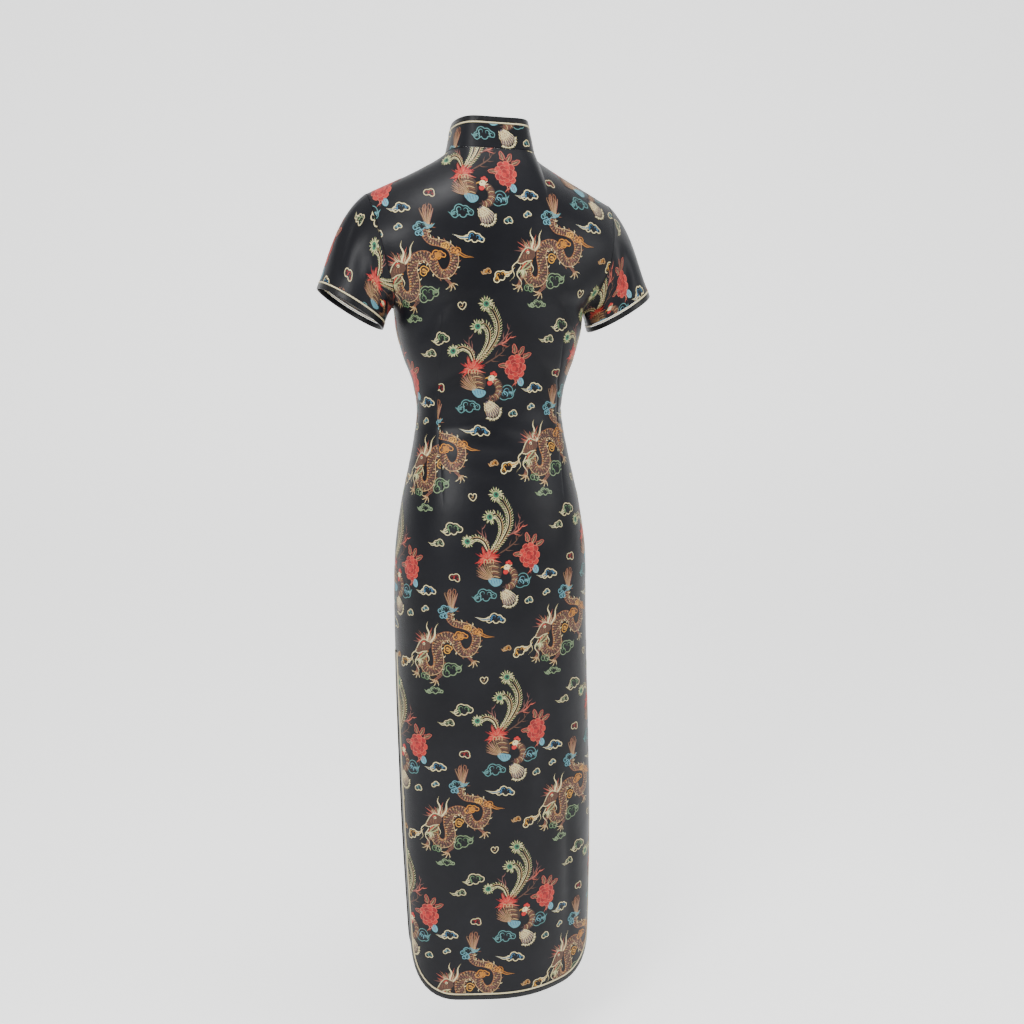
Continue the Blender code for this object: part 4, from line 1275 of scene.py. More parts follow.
@dataclass
class Figures:
    """The repeat of the brocade: one phoenix with its peony, one dragon, and the clouds between."""

    seed: int = 20
    pen: Pen = field(init=False)

    def __post_init__(self) -> None:
        """Starts an empty sheet."""
        bm = bmesh.new()
        bm.verts.layers.float_color.new("silk")
        self.pen = Pen(bm, np.random.default_rng(self.seed))

    def sheet(self) -> bpy.types.Mesh:
        """Draws the whole repeat and returns it as a flat mesh, in centimetres."""
        self.phoenix(self.pen)
        self.peony(self.pen.moved(6.4, 0.2))
        self.dragon(self.pen.moved(12.4, -11.1))
        for cloud in SCATTERED_CLOUDS:
            self.cloud(self.pen, cloud)
        self.heart(self.pen.moved(-0.5, -18.6))
        bmesh.ops.remove_doubles(self.pen.bm, verts=self.pen.bm.verts, dist=1e-5)
        return mesh_of(self.pen.bm, "brocade_repeat")

    def cloud(self, pen: Pen, cloud: Cloud) -> None:
        """Draws a cloud of round scrolls within one lobed outline, with a trailing tail."""
        pen = pen.moved(cloud.x, cloud.y, cloud.turn)
        large = cloud.wide > LARGE_CLOUD
        shares = LARGE_PUFFS if large else SMALL_PUFFS
        puffs = [(x * cloud.wide, y * cloud.high, size * cloud.high) for x, y, size in shares]
        rim = []
        for angle in np.linspace(0, 2 * math.pi, 40 if large else 26, endpoint=False):
            reach = 0.22 * cloud.high
            for x, y, size in puffs:
                ahead = x * math.cos(angle) + y * math.sin(angle)
                inside = size * size - x * x - y * y + ahead * ahead
                if inside > 0:
                    reach = max(reach, ahead + math.sqrt(inside))
            rim.append((reach * math.cos(angle), reach * math.sin(angle)))
        heavy = 0.13 if large else 0.11
        pen.line(rim, heavy, cloud.outline, 2, closed=True, step=0.14)
        for i, (x, y, size) in enumerate(puffs[:4]):
            side = -1 if i % 2 else 1
            curl = np.linspace(-0.9, 1.45 * math.pi, 9)
            radius = size * 0.66 * (1 - np.linspace(0, 0.62, 9))
            scroll = np.column_stack((x + side * radius * np.cos(curl), y + radius * np.sin(curl)))
            pen.line(scroll, heavy * 1.15, cloud.inside, 1 + 0.2 * i, end=0.7, step=0.12)
        if cloud.tail:
            side, long = math.copysign(1, cloud.tail), abs(cloud.tail)
            root = side * cloud.wide * 0.42
            for offset, silk in ((0.13, cloud.outline), (-0.05, cloud.inside), (-0.22, cloud.outline)):
                trail = (
                    (root - side * 0.3, offset), (root + side * 0.35 * long, offset * 0.8 - 0.16),
                    (root + side * 0.7 * long, 0.02 + offset * 0.3), (root + side * long, 0.16),
                )
                pen.line(trail, heavy * 0.9, silk, 2, end=0.6)

    def heart(self, pen: Pen) -> None:
        """Draws a small heart-shaped curl of cloud."""
        rim = (
            (0, -0.55), (0.45, -0.1), (0.5, 0.35), (0.2, 0.5),
            (0, 0.2), (-0.25, 0.5), (-0.6, 0.3), (-0.5, -0.15),
        )
        pen.line(rim, 0.12, Thread.CREAM, 1, closed=True)
        pen.line(((0.05, 0.2), (0.0, -0.1), (-0.25, -0.12), (-0.22, 0.1)), 0.09, Thread.SAND, 1, end=0.5)

    def plume(self, pen: Pen, spine: Points, width: float) -> None:
        """Draws a tail feather: barbs to both sides of a curved spine, and an eye at its end.

        Args:
            pen: the pen.
            spine: the places that the spine passes, from its root.
            width: the length of its longest barbs.
        """
        line = catmull(spine, 0.33)
        run, beside = unit(np.gradient(line, axis=0)), across_line(line)
        share = np.linspace(0, 1, len(line))
        for i, t in enumerate(share[1:], start=1):
            long = width * (0.45 + 0.45 * t)
            silk = PLUME_SILKS[i % 2]
            for side in (1, -1):
                out = side * beside[i]
                barb = (
                    line[i] + out * 0.22, line[i] + out * 0.44 * long + run[i] * 0.10 * long,
                    line[i] + out * 0.86 * long + run[i] * 0.50 * long,
                )
                pen.line(barb, 0.15, silk, 1 + 0.2 * (i % 3), start=0.3, end=0.6, step=0.4)
        for side, silk in ((0.17, Thread.CREAM), (-0.17, Thread.SAND)):
            pen.line(line[::2] + side * beside[::2], 0.11, silk, 2.2, end=0.3)
        eye = pen.moved(*(line[-1] + run[-1] * 0.25))
        eye.rays((0, 340), 17, (0.95 * width, 1.2 * width), 0.17, PLUME_SILKS, 1.5, 0.5, 8.0)
        eye.dot(0, 0, 0.56, Thread.PALE_GREEN, 2.4)
        eye.dot(0, 0, 0.44, Thread.EYE_GREEN, 3.0)
        eye.dot(0.04, 0.05, 0.20, Thread.INK, 3.6)

    def branch(self, pen: Pen, stem: Points, silk: Thread, twigs: int) -> None:
        """Draws a branching streamer: a stem with short twigs to alternate sides."""
        pen.line(stem, 0.20, silk, 1, start=0.1, end=0.5)
        line = catmull(stem, 0.2)
        run, beside = unit(np.gradient(line, axis=0)), across_line(line)
        for i in range(twigs):
            k = int((0.3 + 0.6 * i / max(1, twigs - 1)) * (len(line) - 1))
            out = beside[k] * (1 if i % 2 else -1)
            long = 1.05 - 0.4 * i / twigs
            bend = line[k] + (out * 0.6 + run[k] * 0.5) * long * 0.6
            tip = line[k] + (out * 0.75 + run[k]) * long
            pen.line((line[k], bend, tip), 0.14, silk, 1, end=0.6)

    def phoenix(self, pen: Pen) -> None:
        """Draws the phoenix round its red breast tuft."""
        self.branch(pen, ((2.8, 3.0), (3.9, 3.7), (4.7, 4.7), (5.3, 6.2)), Thread.MAUVE, 4)
        self.branch(pen, ((3.4, 3.4), (4.7, 3.9), (5.6, 4.8)), Thread.ROSE, 3)
        self.branch(pen, ((0.3, 2.2), (-0.6, 3.3), (-0.7, 4.7)), Thread.MAUVE, 3)
        self.branch(pen, ((1.6, 0.6), (3.1, 1.5), (4.4, 2.5), (4.9, 3.6)), Thread.BROWN, 5)
        self.plume(pen, ((0.7, 0.9), (2.2, 2.6), (3.3, 4.6), (3.4, 6.4), (2.7, 8.0), (1.8, 9.0)), 1.05)
        self.plume(pen, ((0.6, 1.2), (1.6, 2.5), (2.2, 4.0), (2.1, 5.4), (1.4, 6.3), (0.7, 6.1)), 1.0)
        self.plume(pen, ((0.1, 1.2), (-0.4, 2.4), (-1.5, 3.0), (-2.7, 2.6)), 0.9)
        self._body(pen)
        silks = (Thread.CORAL, Thread.ROSE, Thread.CORAL, Thread.CRIMSON)
        breast = ((0.9, 0.0), (0.5, 0.8), (-0.3, 0.9), (-0.9, 0.3), (-0.7, -0.5), (0.3, -0.7))
        pen.blot(breast, Thread.CRIMSON, 0.5)
        pen.rays((-25, 215), 34, (1.2, 2.1), 0.24, silks, 2.0, 0.25)
        pen.rays((-10, 200), 22, (0.7, 1.2), 0.22, (Thread.ROSE, Thread.CORAL), 3.2, 0.1)
        for x, turn in ((-0.25, 100), (0.15, 85), (0.5, 70)):
            mound = pen.moved(x, -0.75, turn - 90, level=3)
            mound.line(((-0.32, 0.0), (-0.2, 0.55), (0.1, 0.55), (0.3, 0.0)), 0.12, Thread.SAND, 1.5)
        self._head(pen)
        self._fan(pen.moved(2.1, -4.6))
        self.cloud(pen, Cloud(-0.4, -5.5, 3.1, 2.1, 8.0, Thread.TEAL, Thread.TEAL, -0.7))
        self.cloud(pen, Cloud(5.2, -3.6, 1.7, 2.4, 18.0, Thread.TEAL, Thread.SKY, 0.9))

    def _body(self, pen: Pen) -> None:
        """Draws the phoenix's wing, back and neck."""
        wing = pen.moved(1.1, -3.1)
        for i, angle in enumerate(np.linspace(104, 168, 10)):
            feather = wing.moved(0, 0, angle, level=0.15 * i)
            long = 3.5 - 0.16 * abs(i - 5)
            silk = (Thread.BROWN, Thread.MAUVE, Thread.BROWN, Thread.RUST)[i % 4]
            feather.line(((0.3, 0), (0.5 * long, 0.10), (long, -0.05)), 0.34, silk, 1, start=0.1, end=0.35)
            feather.line(((0.6, 0.12), (0.55 * long, 0.24), (long, 0.0)), 0.07, Thread.SAND, 2, end=0.5)
        back = ((1.9, -1.2), (1.2, -0.5), (0.2, -0.6), (-0.5, -1.3), (0.1, -2.6), (1.2, -3.2), (2.0, -2.5))
        pen.blot(back, Thread.DARK, 2)
        for i in range(9):
            y = -0.8 - 0.26 * i
            hatch = ((-0.3 + 0.12 * i, y), (0.6 + 0.05 * i, y + 0.22), (1.6 + 0.03 * i, y - 0.05))
            pen.line(hatch, 0.13, (Thread.RUST, Thread.BROWN, Thread.SAND)[i % 3], 3, start=0.2, end=0.3)
        band = ((0.2, -2.9), (0.1, -3.4), (0.9, -4.2), (1.8, -4.0), (2.1, -3.3), (1.2, -3.0))
        pen.blot(band, Thread.SKY, 3)
        for i in range(4):
            x = 0.45 + 0.4 * i
            pen.line(((x, -3.15), (x + 0.1, -3.6), (x + 0.25, -3.9)), 0.09, Thread.BLUE, 4, end=0.4)
        neck = ((2.1, -4.3), (3.3, -4.3), (4.0, -3.5), (3.9, -2.3), (3.0, -1.5))
        pen.line(neck, 1.15, Thread.DARK, 3, start=0.25, end=0.1)
        line = catmull(neck, 0.24)
        beside = across_line(line)
        for i in range(2, len(line) - 1):
            arc = (line[i] - beside[i] * 0.5, line[i + 1] + beside[i] * 0.0, line[i] + beside[i] * 0.5)
            silk = (Thread.RUST, Thread.SAND, Thread.MAUVE)[i % 3]
            pen.line(arc, 0.12, silk, 4.2, start=0.2, end=0.2, step=0.3)

    def _head(self, pen: Pen) -> None:
        """Draws the phoenix's head, with comb, beak and wattle."""
        head = pen.moved(2.8, -1.35, level=3)
        skull = ((0.5, -0.2), (0.45, 0.25), (0.0, 0.42), (-0.4, 0.15), (-0.4, -0.3), (0.1, -0.45))
        head.blot(skull, Thread.CREAM, 1)
        head.line(((-0.35, 0.08), (-0.75, 0.0), (-0.95, -0.18)), 0.22, Thread.AMBER, 2, end=0.8)
        head.dot(-0.08, 0.08, 0.10, Thread.INK, 3)
        for x, y in ((0.05, 0.62), (0.36, 0.78), (0.62, 0.50)):
            head.dot(x, y, 0.24, Thread.CORAL, 2)
        wattle = ((-0.2, -0.4), (-0.5, -0.5), (-0.5, -0.95), (-0.1, -1.1), (0.25, -0.8), (0.2, -0.4))
        head.blot(wattle, Thread.CORAL, 2)
        head.rays((-80, 10), 6, (0.7, 1.0), 0.12, (Thread.ROSE, Thread.CREAM), 2.5, 0.45)

    def _fan(self, pen: Pen) -> None:
        """Draws the short feathers that fan out below the phoenix."""
        for i, angle in enumerate(np.linspace(-82, -30, 7)):
            feather = pen.moved(0, 0, angle, level=0.2 * i)
            long = 2.5 + 0.5 * math.sin(i / 6 * math.pi)
            vane = ((0.2, 0), (0.6 * long, 0.05), (long, 0))
            feather.line(vane, 0.36, Thread.PURPLE, 1, start=0.2, end=0.12)
            feather.line(((0.5, 0.16), (0.7 * long, 0.2), (long, 0.05)), 0.09, Thread.CREAM, 2, end=0.3)
            feather.line(((0.5, -0.14), (0.7 * long, -0.16), (long, -0.02)), 0.09, Thread.SAND, 2, end=0.3)
            tip = feather.moved(long, 0)
            tip.rays((-50, 50), 5, (0.3, 0.5), 0.13, (Thread.CREAM,), 2.4, 0.0, 5)
        arc = ((-0.15, 0.2), (0.2, 0.14), (0.2, -0.14), (-0.15, -0.2))
        for row, radius in enumerate((0.55, 0.95, 1.35)):
            for i, angle in enumerate(np.linspace(-88, -26, 3 + row)):
                c, s = turned(angle)
                scale = pen.moved(radius * c, radius * s, angle, level=2)
                scale.line(arc, 0.09, Thread.CREAM, 1 + 0.2 * row)

    def peony(self, pen: Pen) -> None:
        """Draws a full peony with small leaves above it and a bud below."""
        blade = ((1.2, 0), (0.6, 0.32), (0.0, 0.16), (-0.2, 0), (0.0, -0.18), (0.6, -0.3))
        rim = (
            (1.3, 0), (0.9, 0.3), (0.5, 0.22), (0.3, 0.4), (0, 0.2), (0, -0.2), (0.4, -0.36), (0.9, -0.25),
        )
        leaves = ((0.5, 1.9, 60), (-0.2, 2.1, 100), (1.2, 1.5, 25), (-1.3, 0.2, 175))
        for i, (x, y, turn) in enumerate(leaves):
            leaf = pen.moved(x, y, turn)
            leaf.blot(blade, Thread.BROWN, 0.5)
            leaf.line(rim, 0.09, Thread.ROSE, 1.5 + 0.1 * i, closed=True)
            leaf.line(((-0.2, 0), (1.1, 0)), 0.07, Thread.SAND, 2, end=0.5)
        edge = ((0.9, 0), (0.75, 0.6), (0.1, 0.85), (-0.6, 0.5), (-0.7, -0.4), (0.1, -0.85), (0.75, -0.55))
        for ring, (count, out, petal) in enumerate(((9, 1.05, 0.62), (7, 0.66, 0.54), (4, 0.28, 0.44))):
            for i in range(count):
                angle = 360 * i / count + 17 * ring
                c, s = turned(angle)
                level = ring * 1.5 + 0.15 * (i % 3)
                bloom = pen.moved(out * c, 1.25 * out * s, angle, petal, level)
                bloom.blot(edge, (Thread.CORAL, Thread.CRIMSON)[(i + ring) % 2], 1)
                bloom.line((edge[5], edge[6], edge[0], edge[1], edge[2]), 0.13, Thread.ROSE, 2)
                bloom.line(((-0.3, 0), (0.6, 0.05)), 0.13, Thread.CRIMSON, 2, end=0.5)
        bud = pen.moved(0.9, -2.0, -70)
        bud.blot(((0.8, 0), (0.4, 0.45), (-0.3, 0.4), (-0.5, 0), (-0.3, -0.4), (0.4, -0.45)), Thread.SKY, 1)
        bud.line(((-0.4, 0.1), (0.2, 0.15), (0.7, 0.0)), 0.1, Thread.BLUE, 2, end=0.4)
        bud.line(((-0.4, -0.12), (0.2, -0.15), (0.6, -0.1)), 0.1, Thread.BLUE, 2, end=0.4)
        self.branch(pen.moved(0.1, -1.3), ((0, 0), (0.3, -0.5), (0.2, -1.1)), Thread.ROSE, 3)

    def dragon(self, pen: Pen) -> None:
        """Draws the dragon round its middle, tail up and head at the lower left."""
        tail = pen.moved(0.95, 5.2)
        for i, lean in enumerate((-0.55, -0.3, -0.1, 0.12, 0.32, 0.5)):
            silk = (Thread.BROWN, Thread.RUST, Thread.MAUVE)[i % 3]
            tip = 4.0 - 0.5 * abs(i - 2.5)
            stroke = ((0.1 * lean, 0), (lean * 0.8, 1.4), (lean * 1.9, 2.9), (lean * 1.3 + 0.15, tip))
            tail.line(stroke, 0.34, silk, 0.2 * i, start=0.1, end=0.45)
            tail.line(stroke, 0.07, Thread.SAND, 2, end=0.5)
        for x, y in ((-0.25, 3.1), (0.45, 3.2)):
            curl = ((x, y - 0.7), (x - 0.22, y), (x, y + 0.35), (x + 0.24, y), (x + 0.1, y - 0.6))
            tail.line(curl, 0.12, Thread.RUST, 3)
        tail.rays((20, 70), 4, (0.9, 1.3), 0.14, (Thread.RUST, Thread.SAND), 2, 0.6)
        spine = (
            (0.9, 5.3), (0.6, 4.3), (1.3, 3.5), (2.7, 3.2), (4.1, 2.6), (4.7, 1.1), (4.1, -0.6),
            (2.8, -1.0), (1.9, -0.1), (1.3, 1.1), (0.1, 1.5), (-1.0, 0.8), (-1.3, -0.7),
            (-1.0, -2.1), (-1.3, -3.6), (-2.5, -4.0), (-3.4, -3.1), (-3.5, -1.8), (-3.1, -0.5),
        )
        self._scaled(pen, spine, (0.7, 1.15, 1.3, 1.5, 1.2))
        self._leg(pen, ((-1.1, -3.4), (-0.7, -4.5), (-1.5, -5.3)), -118)
        self._leg(pen, ((4.1, -0.3), (3.4, -1.4), (4.1, -2.3)), -62)
        self._leg(pen, ((-3.3, -2.9), (-4.3, -3.4), (-4.7, -4.4)), -112)
        self._dragon_head(pen)
        flames = (
            (2.3, 1.6, 2.1, 1.4, 10, Thread.GOLD, 0.0), (4.9, 2.2, 1.7, 1.2, -22, Thread.GOLD, 2.0),
            (0.4, -0.6, 1.1, 1.3, 60, Thread.AMBER, 0.0), (3.4, 2.9, 1.2, 0.9, -10, Thread.AMBER, 0.0),
        )
        for x, y, wide, high, turn, silk, trail in flames:
            flame = pen.moved(x, y, turn, level=3)
            turns = np.linspace(0, 2 * math.pi, 13)[:-1]
            lobed = 0.82 + 0.2 * np.abs(np.sin(2 * turns + 0.3))
            rim = np.column_stack((wide / 2 * lobed * np.cos(turns), high / 2 * lobed * np.sin(turns)))
            flame.blot(0.62 * rim, silk, 0.5)
            self.cloud(flame, Cloud(0, 0, wide, high, 0, silk, Thread.BROWN, trail))
        upper = pen.moved(0, 0, level=2)
        self.cloud(upper, Cloud(0.1, 5.6, 2.4, 1.3, 6.0, Thread.SKY, Thread.TEAL, 1.0))
        self.cloud(upper, Cloud(-0.2, 4.6, 1.2, 0.9, 0.0, Thread.SKY, Thread.SKY, 0.0))
        self.cloud(upper, Cloud(0.9, -3.7, 2.6, 2.3, 22.0, Thread.SAGE, Thread.LEAF, 0.8))
        self.cloud(upper, Cloud(-3.2, -4.9, 1.4, 1.2, -12.0, Thread.LEAF, Thread.SAGE, 0.0))
        self.cloud(pen, Cloud(-1.7, -7.1, 2.6, 1.2, 3.0, Thread.SAGE, Thread.SAGE, -0.6))

    def _scaled(self, pen: Pen, spine: Points, widths: Sequence[float]) -> None:
        """Draws the dragon's long body: scales, a belly of bars, pale edges and a ridge of spikes.

        Args:
            pen: the pen.
            spine: the places that its middle passes, from the tail.
            widths: its widths at even shares of the way to the neck.
        """
        line = catmull(spine, 0.37)
        run, beside = unit(np.gradient(line, axis=0)), across_line(line)
        wide = np.interp(np.linspace(0, 1, len(line)), np.linspace(0, 1, len(widths)), widths)[:, None]
        pen.patch(line + beside * wide / 2, line - beside * wide / 2, Thread.DARK, 1, 4)
        rows = (-0.24, -0.04, 0.16, 0.36)
        for i in range(1, len(line) - 1):
            for k, share in enumerate(rows):
                middle = line[i] + beside[i] * wide[i] * (share + 0.05 * (i % 2))
                half = beside[i] * wide[i] * 0.095
                scale = (middle - half - run[i] * 0.10, middle + run[i] * 0.15, middle + half - run[i] * 0.10)
                silk = (Thread.RUST, Thread.MAUVE, Thread.BROWN, Thread.SAND)[(i + k) % 4]
                pen.line(scale, 0.10, silk, 2, step=0.2)
            bar = (line[i] - beside[i] * wide[i] * 0.34, line[i] - beside[i] * wide[i] * 0.52 + run[i] * 0.05)
            pen.line(bar, 0.15, (Thread.SAND, Thread.GOLD)[i % 2], 2.4, step=0.3)
            if i % 2:
                root = line[i] + beside[i] * wide[i] * 0.5
                bend = root + beside[i] * 0.22 - run[i] * 0.06
                tip = root + beside[i] * 0.36 - run[i] * 0.26
                silk = (Thread.CREAM, Thread.RUST)[i // 2 % 2]
                pen.line((root, bend, tip), 0.20, silk, 1.5, end=0.8, step=0.25)
        for side, silk in ((0.5, Thread.SAND), (-0.5, Thread.RUST)):
            pen.line(line[::3] + side * (beside * wide)[::3], 0.10, silk, 2.6)

    def _leg(self, pen: Pen, limb: Points, turn: float) -> None:
        """Draws a leg along its joints, with a foot of four claws turned by some degrees."""
        pen.line(limb, 0.72, Thread.DARK, 1.4, end=0.5)
        line = catmull(limb, 0.26)
        beside = across_line(line)
        for i in range(1, len(line) - 1):
            half = 0.3 * (1 - 0.5 * i / len(line))
            bar = (line[i] - beside[i] * half, line[min(i + 1, len(line) - 1)], line[i] + beside[i] * half)
            pen.line(bar, 0.12, (Thread.RUST, Thread.MAUVE)[i % 2], 2, step=0.25)
        foot = pen.moved(*limb[-1], turn, level=0.5)
        foot.dot(0.1, 0, 0.26, Thread.RUST, 1.5)
        for angle in (-62, -20, 22, 64):
            toe = foot.moved(0.1, 0, angle)
            toe.line(((0.1, 0), (0.45, 0.07), (0.72, -0.04)), 0.18, Thread.SAND, 2, end=0.3)
            toe.line(((0.66, -0.02), (0.90, -0.08), (1.02, -0.26)), 0.11, Thread.CREAM, 2.5, end=0.8)

    def _dragon_head(self, pen: Pen) -> None:
        """Draws the dragon's head: mane, horns, brow, muzzle, jaw, whiskers and beard."""
        mane = pen.moved(-2.7, -0.1)
        silks = (Thread.RUST, Thread.MAUVE, Thread.BROWN, Thread.ROSE)
        mane.rays((35, 165), 26, (1.9, 2.9), 0.24, silks, 1.2, 0.3, 14)
        mane.rays((45, 150), 10, (1.6, 2.2), 0.08, (Thread.CREAM,), 2.2, 0.5, 12)
        pen.line(((-2.9, 0.6), (-2.5, 1.8), (-2.9, 2.8), (-2.7, 3.6)), 0.24, Thread.CREAM, 3, end=0.5)
        pen.line(((-2.3, 0.4), (-1.6, 1.4), (-1.5, 2.6), (-1.0, 3.5)), 0.24, Thread.CREAM, 3, end=0.5)
        skull = (
            (-2.2, -0.3), (-2.6, 0.5), (-3.4, 0.75), (-4.1, 0.2), (-4.6, -0.6), (-4.9, -1.3), (-4.3, -1.45),
            (-3.6, -1.1), (-2.9, -0.95),
        )
        pen.blot(skull, Thread.BROWN, 3, 3)
        pen.line(((-2.5, 0.5), (-3.4, 0.8), (-4.1, 0.25), (-4.6, -0.6), (-5.0, -1.4)), 0.13, Thread.CREAM, 4)
        pen.line(((-4.9, -1.4), (-4.3, -1.5), (-3.6, -1.15), (-2.8, -1.0)), 0.12, Thread.CREAM, 4)
        jaw = ((-3.0, -1.1), (-3.7, -1.7), (-4.2, -2.3), (-3.6, -2.2), (-2.9, -1.7))
        pen.line(jaw, 0.16, Thread.PALE_GREEN, 3.5)
        pen.line(((-3.6, -1.35), (-4.1, -1.8), (-4.5, -2.4)), 0.16, Thread.CORAL, 4, end=0.6)
        pen.line(((-3.1, 0.45), (-3.5, 0.42), (-3.8, 0.1)), 0.20, Thread.CORAL, 4.5, start=0.2, end=0.4)
        for x, y, turn in ((-4.45, -1.45, -100), (-4.1, -1.4, -95), (-3.75, -1.2, -95)):
            pen.moved(x, y, turn).line(((0, 0), (0.26, 0)), 0.12, Thread.CREAM, 4.6, end=0.8, step=0.15)
        pen.dot(-3.35, 0.1, 0.22, Thread.CREAM, 5)
        pen.dot(-3.38, 0.08, 0.11, Thread.INK, 5.6)
        pen.line(((-4.5, -0.75), (-4.75, -0.85), (-4.7, -1.1), (-4.5, -1.05)), 0.09, Thread.RUST, 5)
        for x in (-3.9, -3.5, -3.1):
            pen.line(((x, -0.2), (x - 0.15, -0.5), (x - 0.05, -0.8)), 0.08, Thread.RUST, 5)
        whiskers = (
            ((-4.8, -1.1), (-5.7, -2.0), (-5.4, -3.2), (-6.1, -4.0)),
            ((-4.4, -1.8), (-5.0, -3.0), (-4.3, -4.2), (-5.0, -5.4)),
            ((-2.9, -1.4), (-2.5, -2.2), (-2.9, -2.9)),
        )
        for whisker in whiskers:
            pen.line(whisker, 0.13, Thread.CREAM, 3, end=0.7)
        beard = pen.moved(-3.9, -2.2)
        beard.rays((-150, -60), 9, (0.9, 1.5), 0.15, PLUME_SILKS, 2.5, 0.1)


# The place of one repeat's origin on each flat cut
BACK_REPEAT = (-0.035, -0.6045)
FRONT_REPEAT = (0.03, -0.56)
LEFT_SLEEVE_REPEAT = (0.14, -0.06)
RIGHT_SLEEVE_REPEAT = (0.22, -0.03)
COLLAR_REPEAT = (-0.02, 0.075)


@dataclass
class Brocade:
    """Lays the repeat of woven figures on the pieces of cloth."""

    across: tuple[float, float] = (0.1875, 0.0215)
    upward: tuple[float, float] = (-0.0129, 0.275)
    lift: float = 0.00024
    layer: float = 0.00003

    def __post_init__(self) -> None:
        """Draws the repeat once and keeps its flat places."""
        self.repeat = Figures().sheet()
        flat = np.empty(len(self.repeat.vertices) * 3)
        self.repeat.vertices.foreach_get("co", flat)
        flat = flat.reshape(-1, 3)
        self.flat = flat[:, :2] * CM
        self.heights = self.lift + self.layer * flat[:, 2]
        log.info("repeat: %d faces", len(self.repeat.polygons))

    def weave(self, name: str, cloth: Any, start: tuple[float, float]) -> bpy.types.Object:
        """Lays repeats all over a piece of cloth and cuts them off at its edges.

        Args:
            name: the piece's name.
            cloth: the cloth, which holds flat places within its cut and lays them on its form.
            start: the place of one repeat's origin on the flat cloth.

        Returns:
            The piece.
        """
        low, high = cloth.reach()
        frame_axes = np.array((self.across, self.upward))
        bm = bmesh.new()
        silk = bm.verts.layers.float_color.new("silk")
        uv = bm.loops.layers.uv.new("cloth")
        source = self.repeat.attributes["silk"].data
        colours = np.empty(len(source) * 4, np.float32)
        source.foreach_get("color", colours)
        colours = colours.reshape(-1, 4)
        gone = []
        for i in range(-REPEATS, REPEATS + 1):
            for j in range(-REPEATS, REPEATS + 1):
                places = self.flat + np.array(start) + np.array((i, j)) @ frame_axes
                if np.any(places.min(axis=0) > high) or np.any(places.max(axis=0) < low):
                    continue
                held, moved = cloth.hold(places)
                if moved.all():
                    continue
                points = cloth.lay(held, self.heights)
                gone += self._add(bm, silk, uv, held, points, moved, colours)
        bmesh.ops.delete(bm, geom=gone, context="FACES")
        return finish_piece(name, mesh_of(bm, name), (FigureFinish(),), ())

    def _add(
        self,
        bm: bmesh.types.BMesh,
        silk: Any,
        uv: Any,
        held: Array,
        points: Array,
        moved: Array,
        colours: Array,
    ) -> list[bmesh.types.BMFace]:
        """Adds one repeat's floats to a piece's mesh, and returns the faces that lie past the cut."""
        first = len(bm.verts), len(bm.faces)
        bm.from_mesh(self.repeat)
        bm.verts.ensure_lookup_table()
        bm.faces.ensure_lookup_table()
        verts = bm.verts[first[0] :]
        for i, vert in enumerate(verts):
            vert.co = points[i]
            vert[silk] = colours[i]
            vert.index = i
        gone = []
        for face in bm.faces[first[1] :]:
            corners = [loop.vert.index for loop in face.loops]
            if all(moved[c] for c in corners):
                gone.append(face)
                continue
            for loop, corner in zip(face.loops, corners):
                loop[uv].uv = held[corner]
        return gone


# Panels


def side_edge(hand: int, start: float, rows: int = 0) -> Array:
    """The side seam from a height up to the underarm in some rows, and the armhole above it."""
    rise = (1 - np.cos(np.linspace(0, math.pi, ARMHOLE_ROWS + 1))) / 2
    side = np.linspace(start, UNDERARM, rows + 1)[:-1]
    heights = np.concatenate((side, mix(UNDERARM, SHOULDER_TIP, rise)))
    return np.column_stack((hand * armhole_angle(heights), heights))


def top_edge(side: int, across: Array) -> Array:
    """The shoulder seam and the neck seam at places across."""
    shoulder = np.abs(across) >= NECK_HALF_WIDTH
    heights = np.where(shoulder, ridge_height(across), neckline_height(across, side))
    return np.column_stack((np.arcsin(across / half_width_at(heights)), heights))


def neck_places(start: float, end: float, count: int) -> Array:
    """Places across the neck seam from one to another, close together at the neck's sides."""
    turns = np.arcsin(np.clip(np.array((start, end)) / NECK_HALF_WIDTH, -1, 1))
    return NECK_HALF_WIDTH * np.sin(np.linspace(*turns, count + 1))


def patch(bottom: Array, top: Array, right: Array, left: Array, lift: float = 1) -> Array:
    """Fills four edges, each an array of angles and heights; right and left run from the bottom up.

    Args:
        bottom: the bottom edge, from right to left.
        top: the top edge.
        right: the edge where the bottom starts.
        left: the edge where it ends.
        lift: the power of their share of the way up by which the rows take on the top's shape.

    Returns:
        The grid, in rows from the bottom up.
    """
    u = np.linspace(0, 1, len(bottom))[None, :, None]
    risen = np.linspace(0, 1, len(right))[:, None, None] ** lift
    bottom, top = (edge - mix(edge[0], edge[-1], u) for edge in (bottom, top))
    return mix(right[:, None], left[:, None], u) + mix(bottom, top, risen)


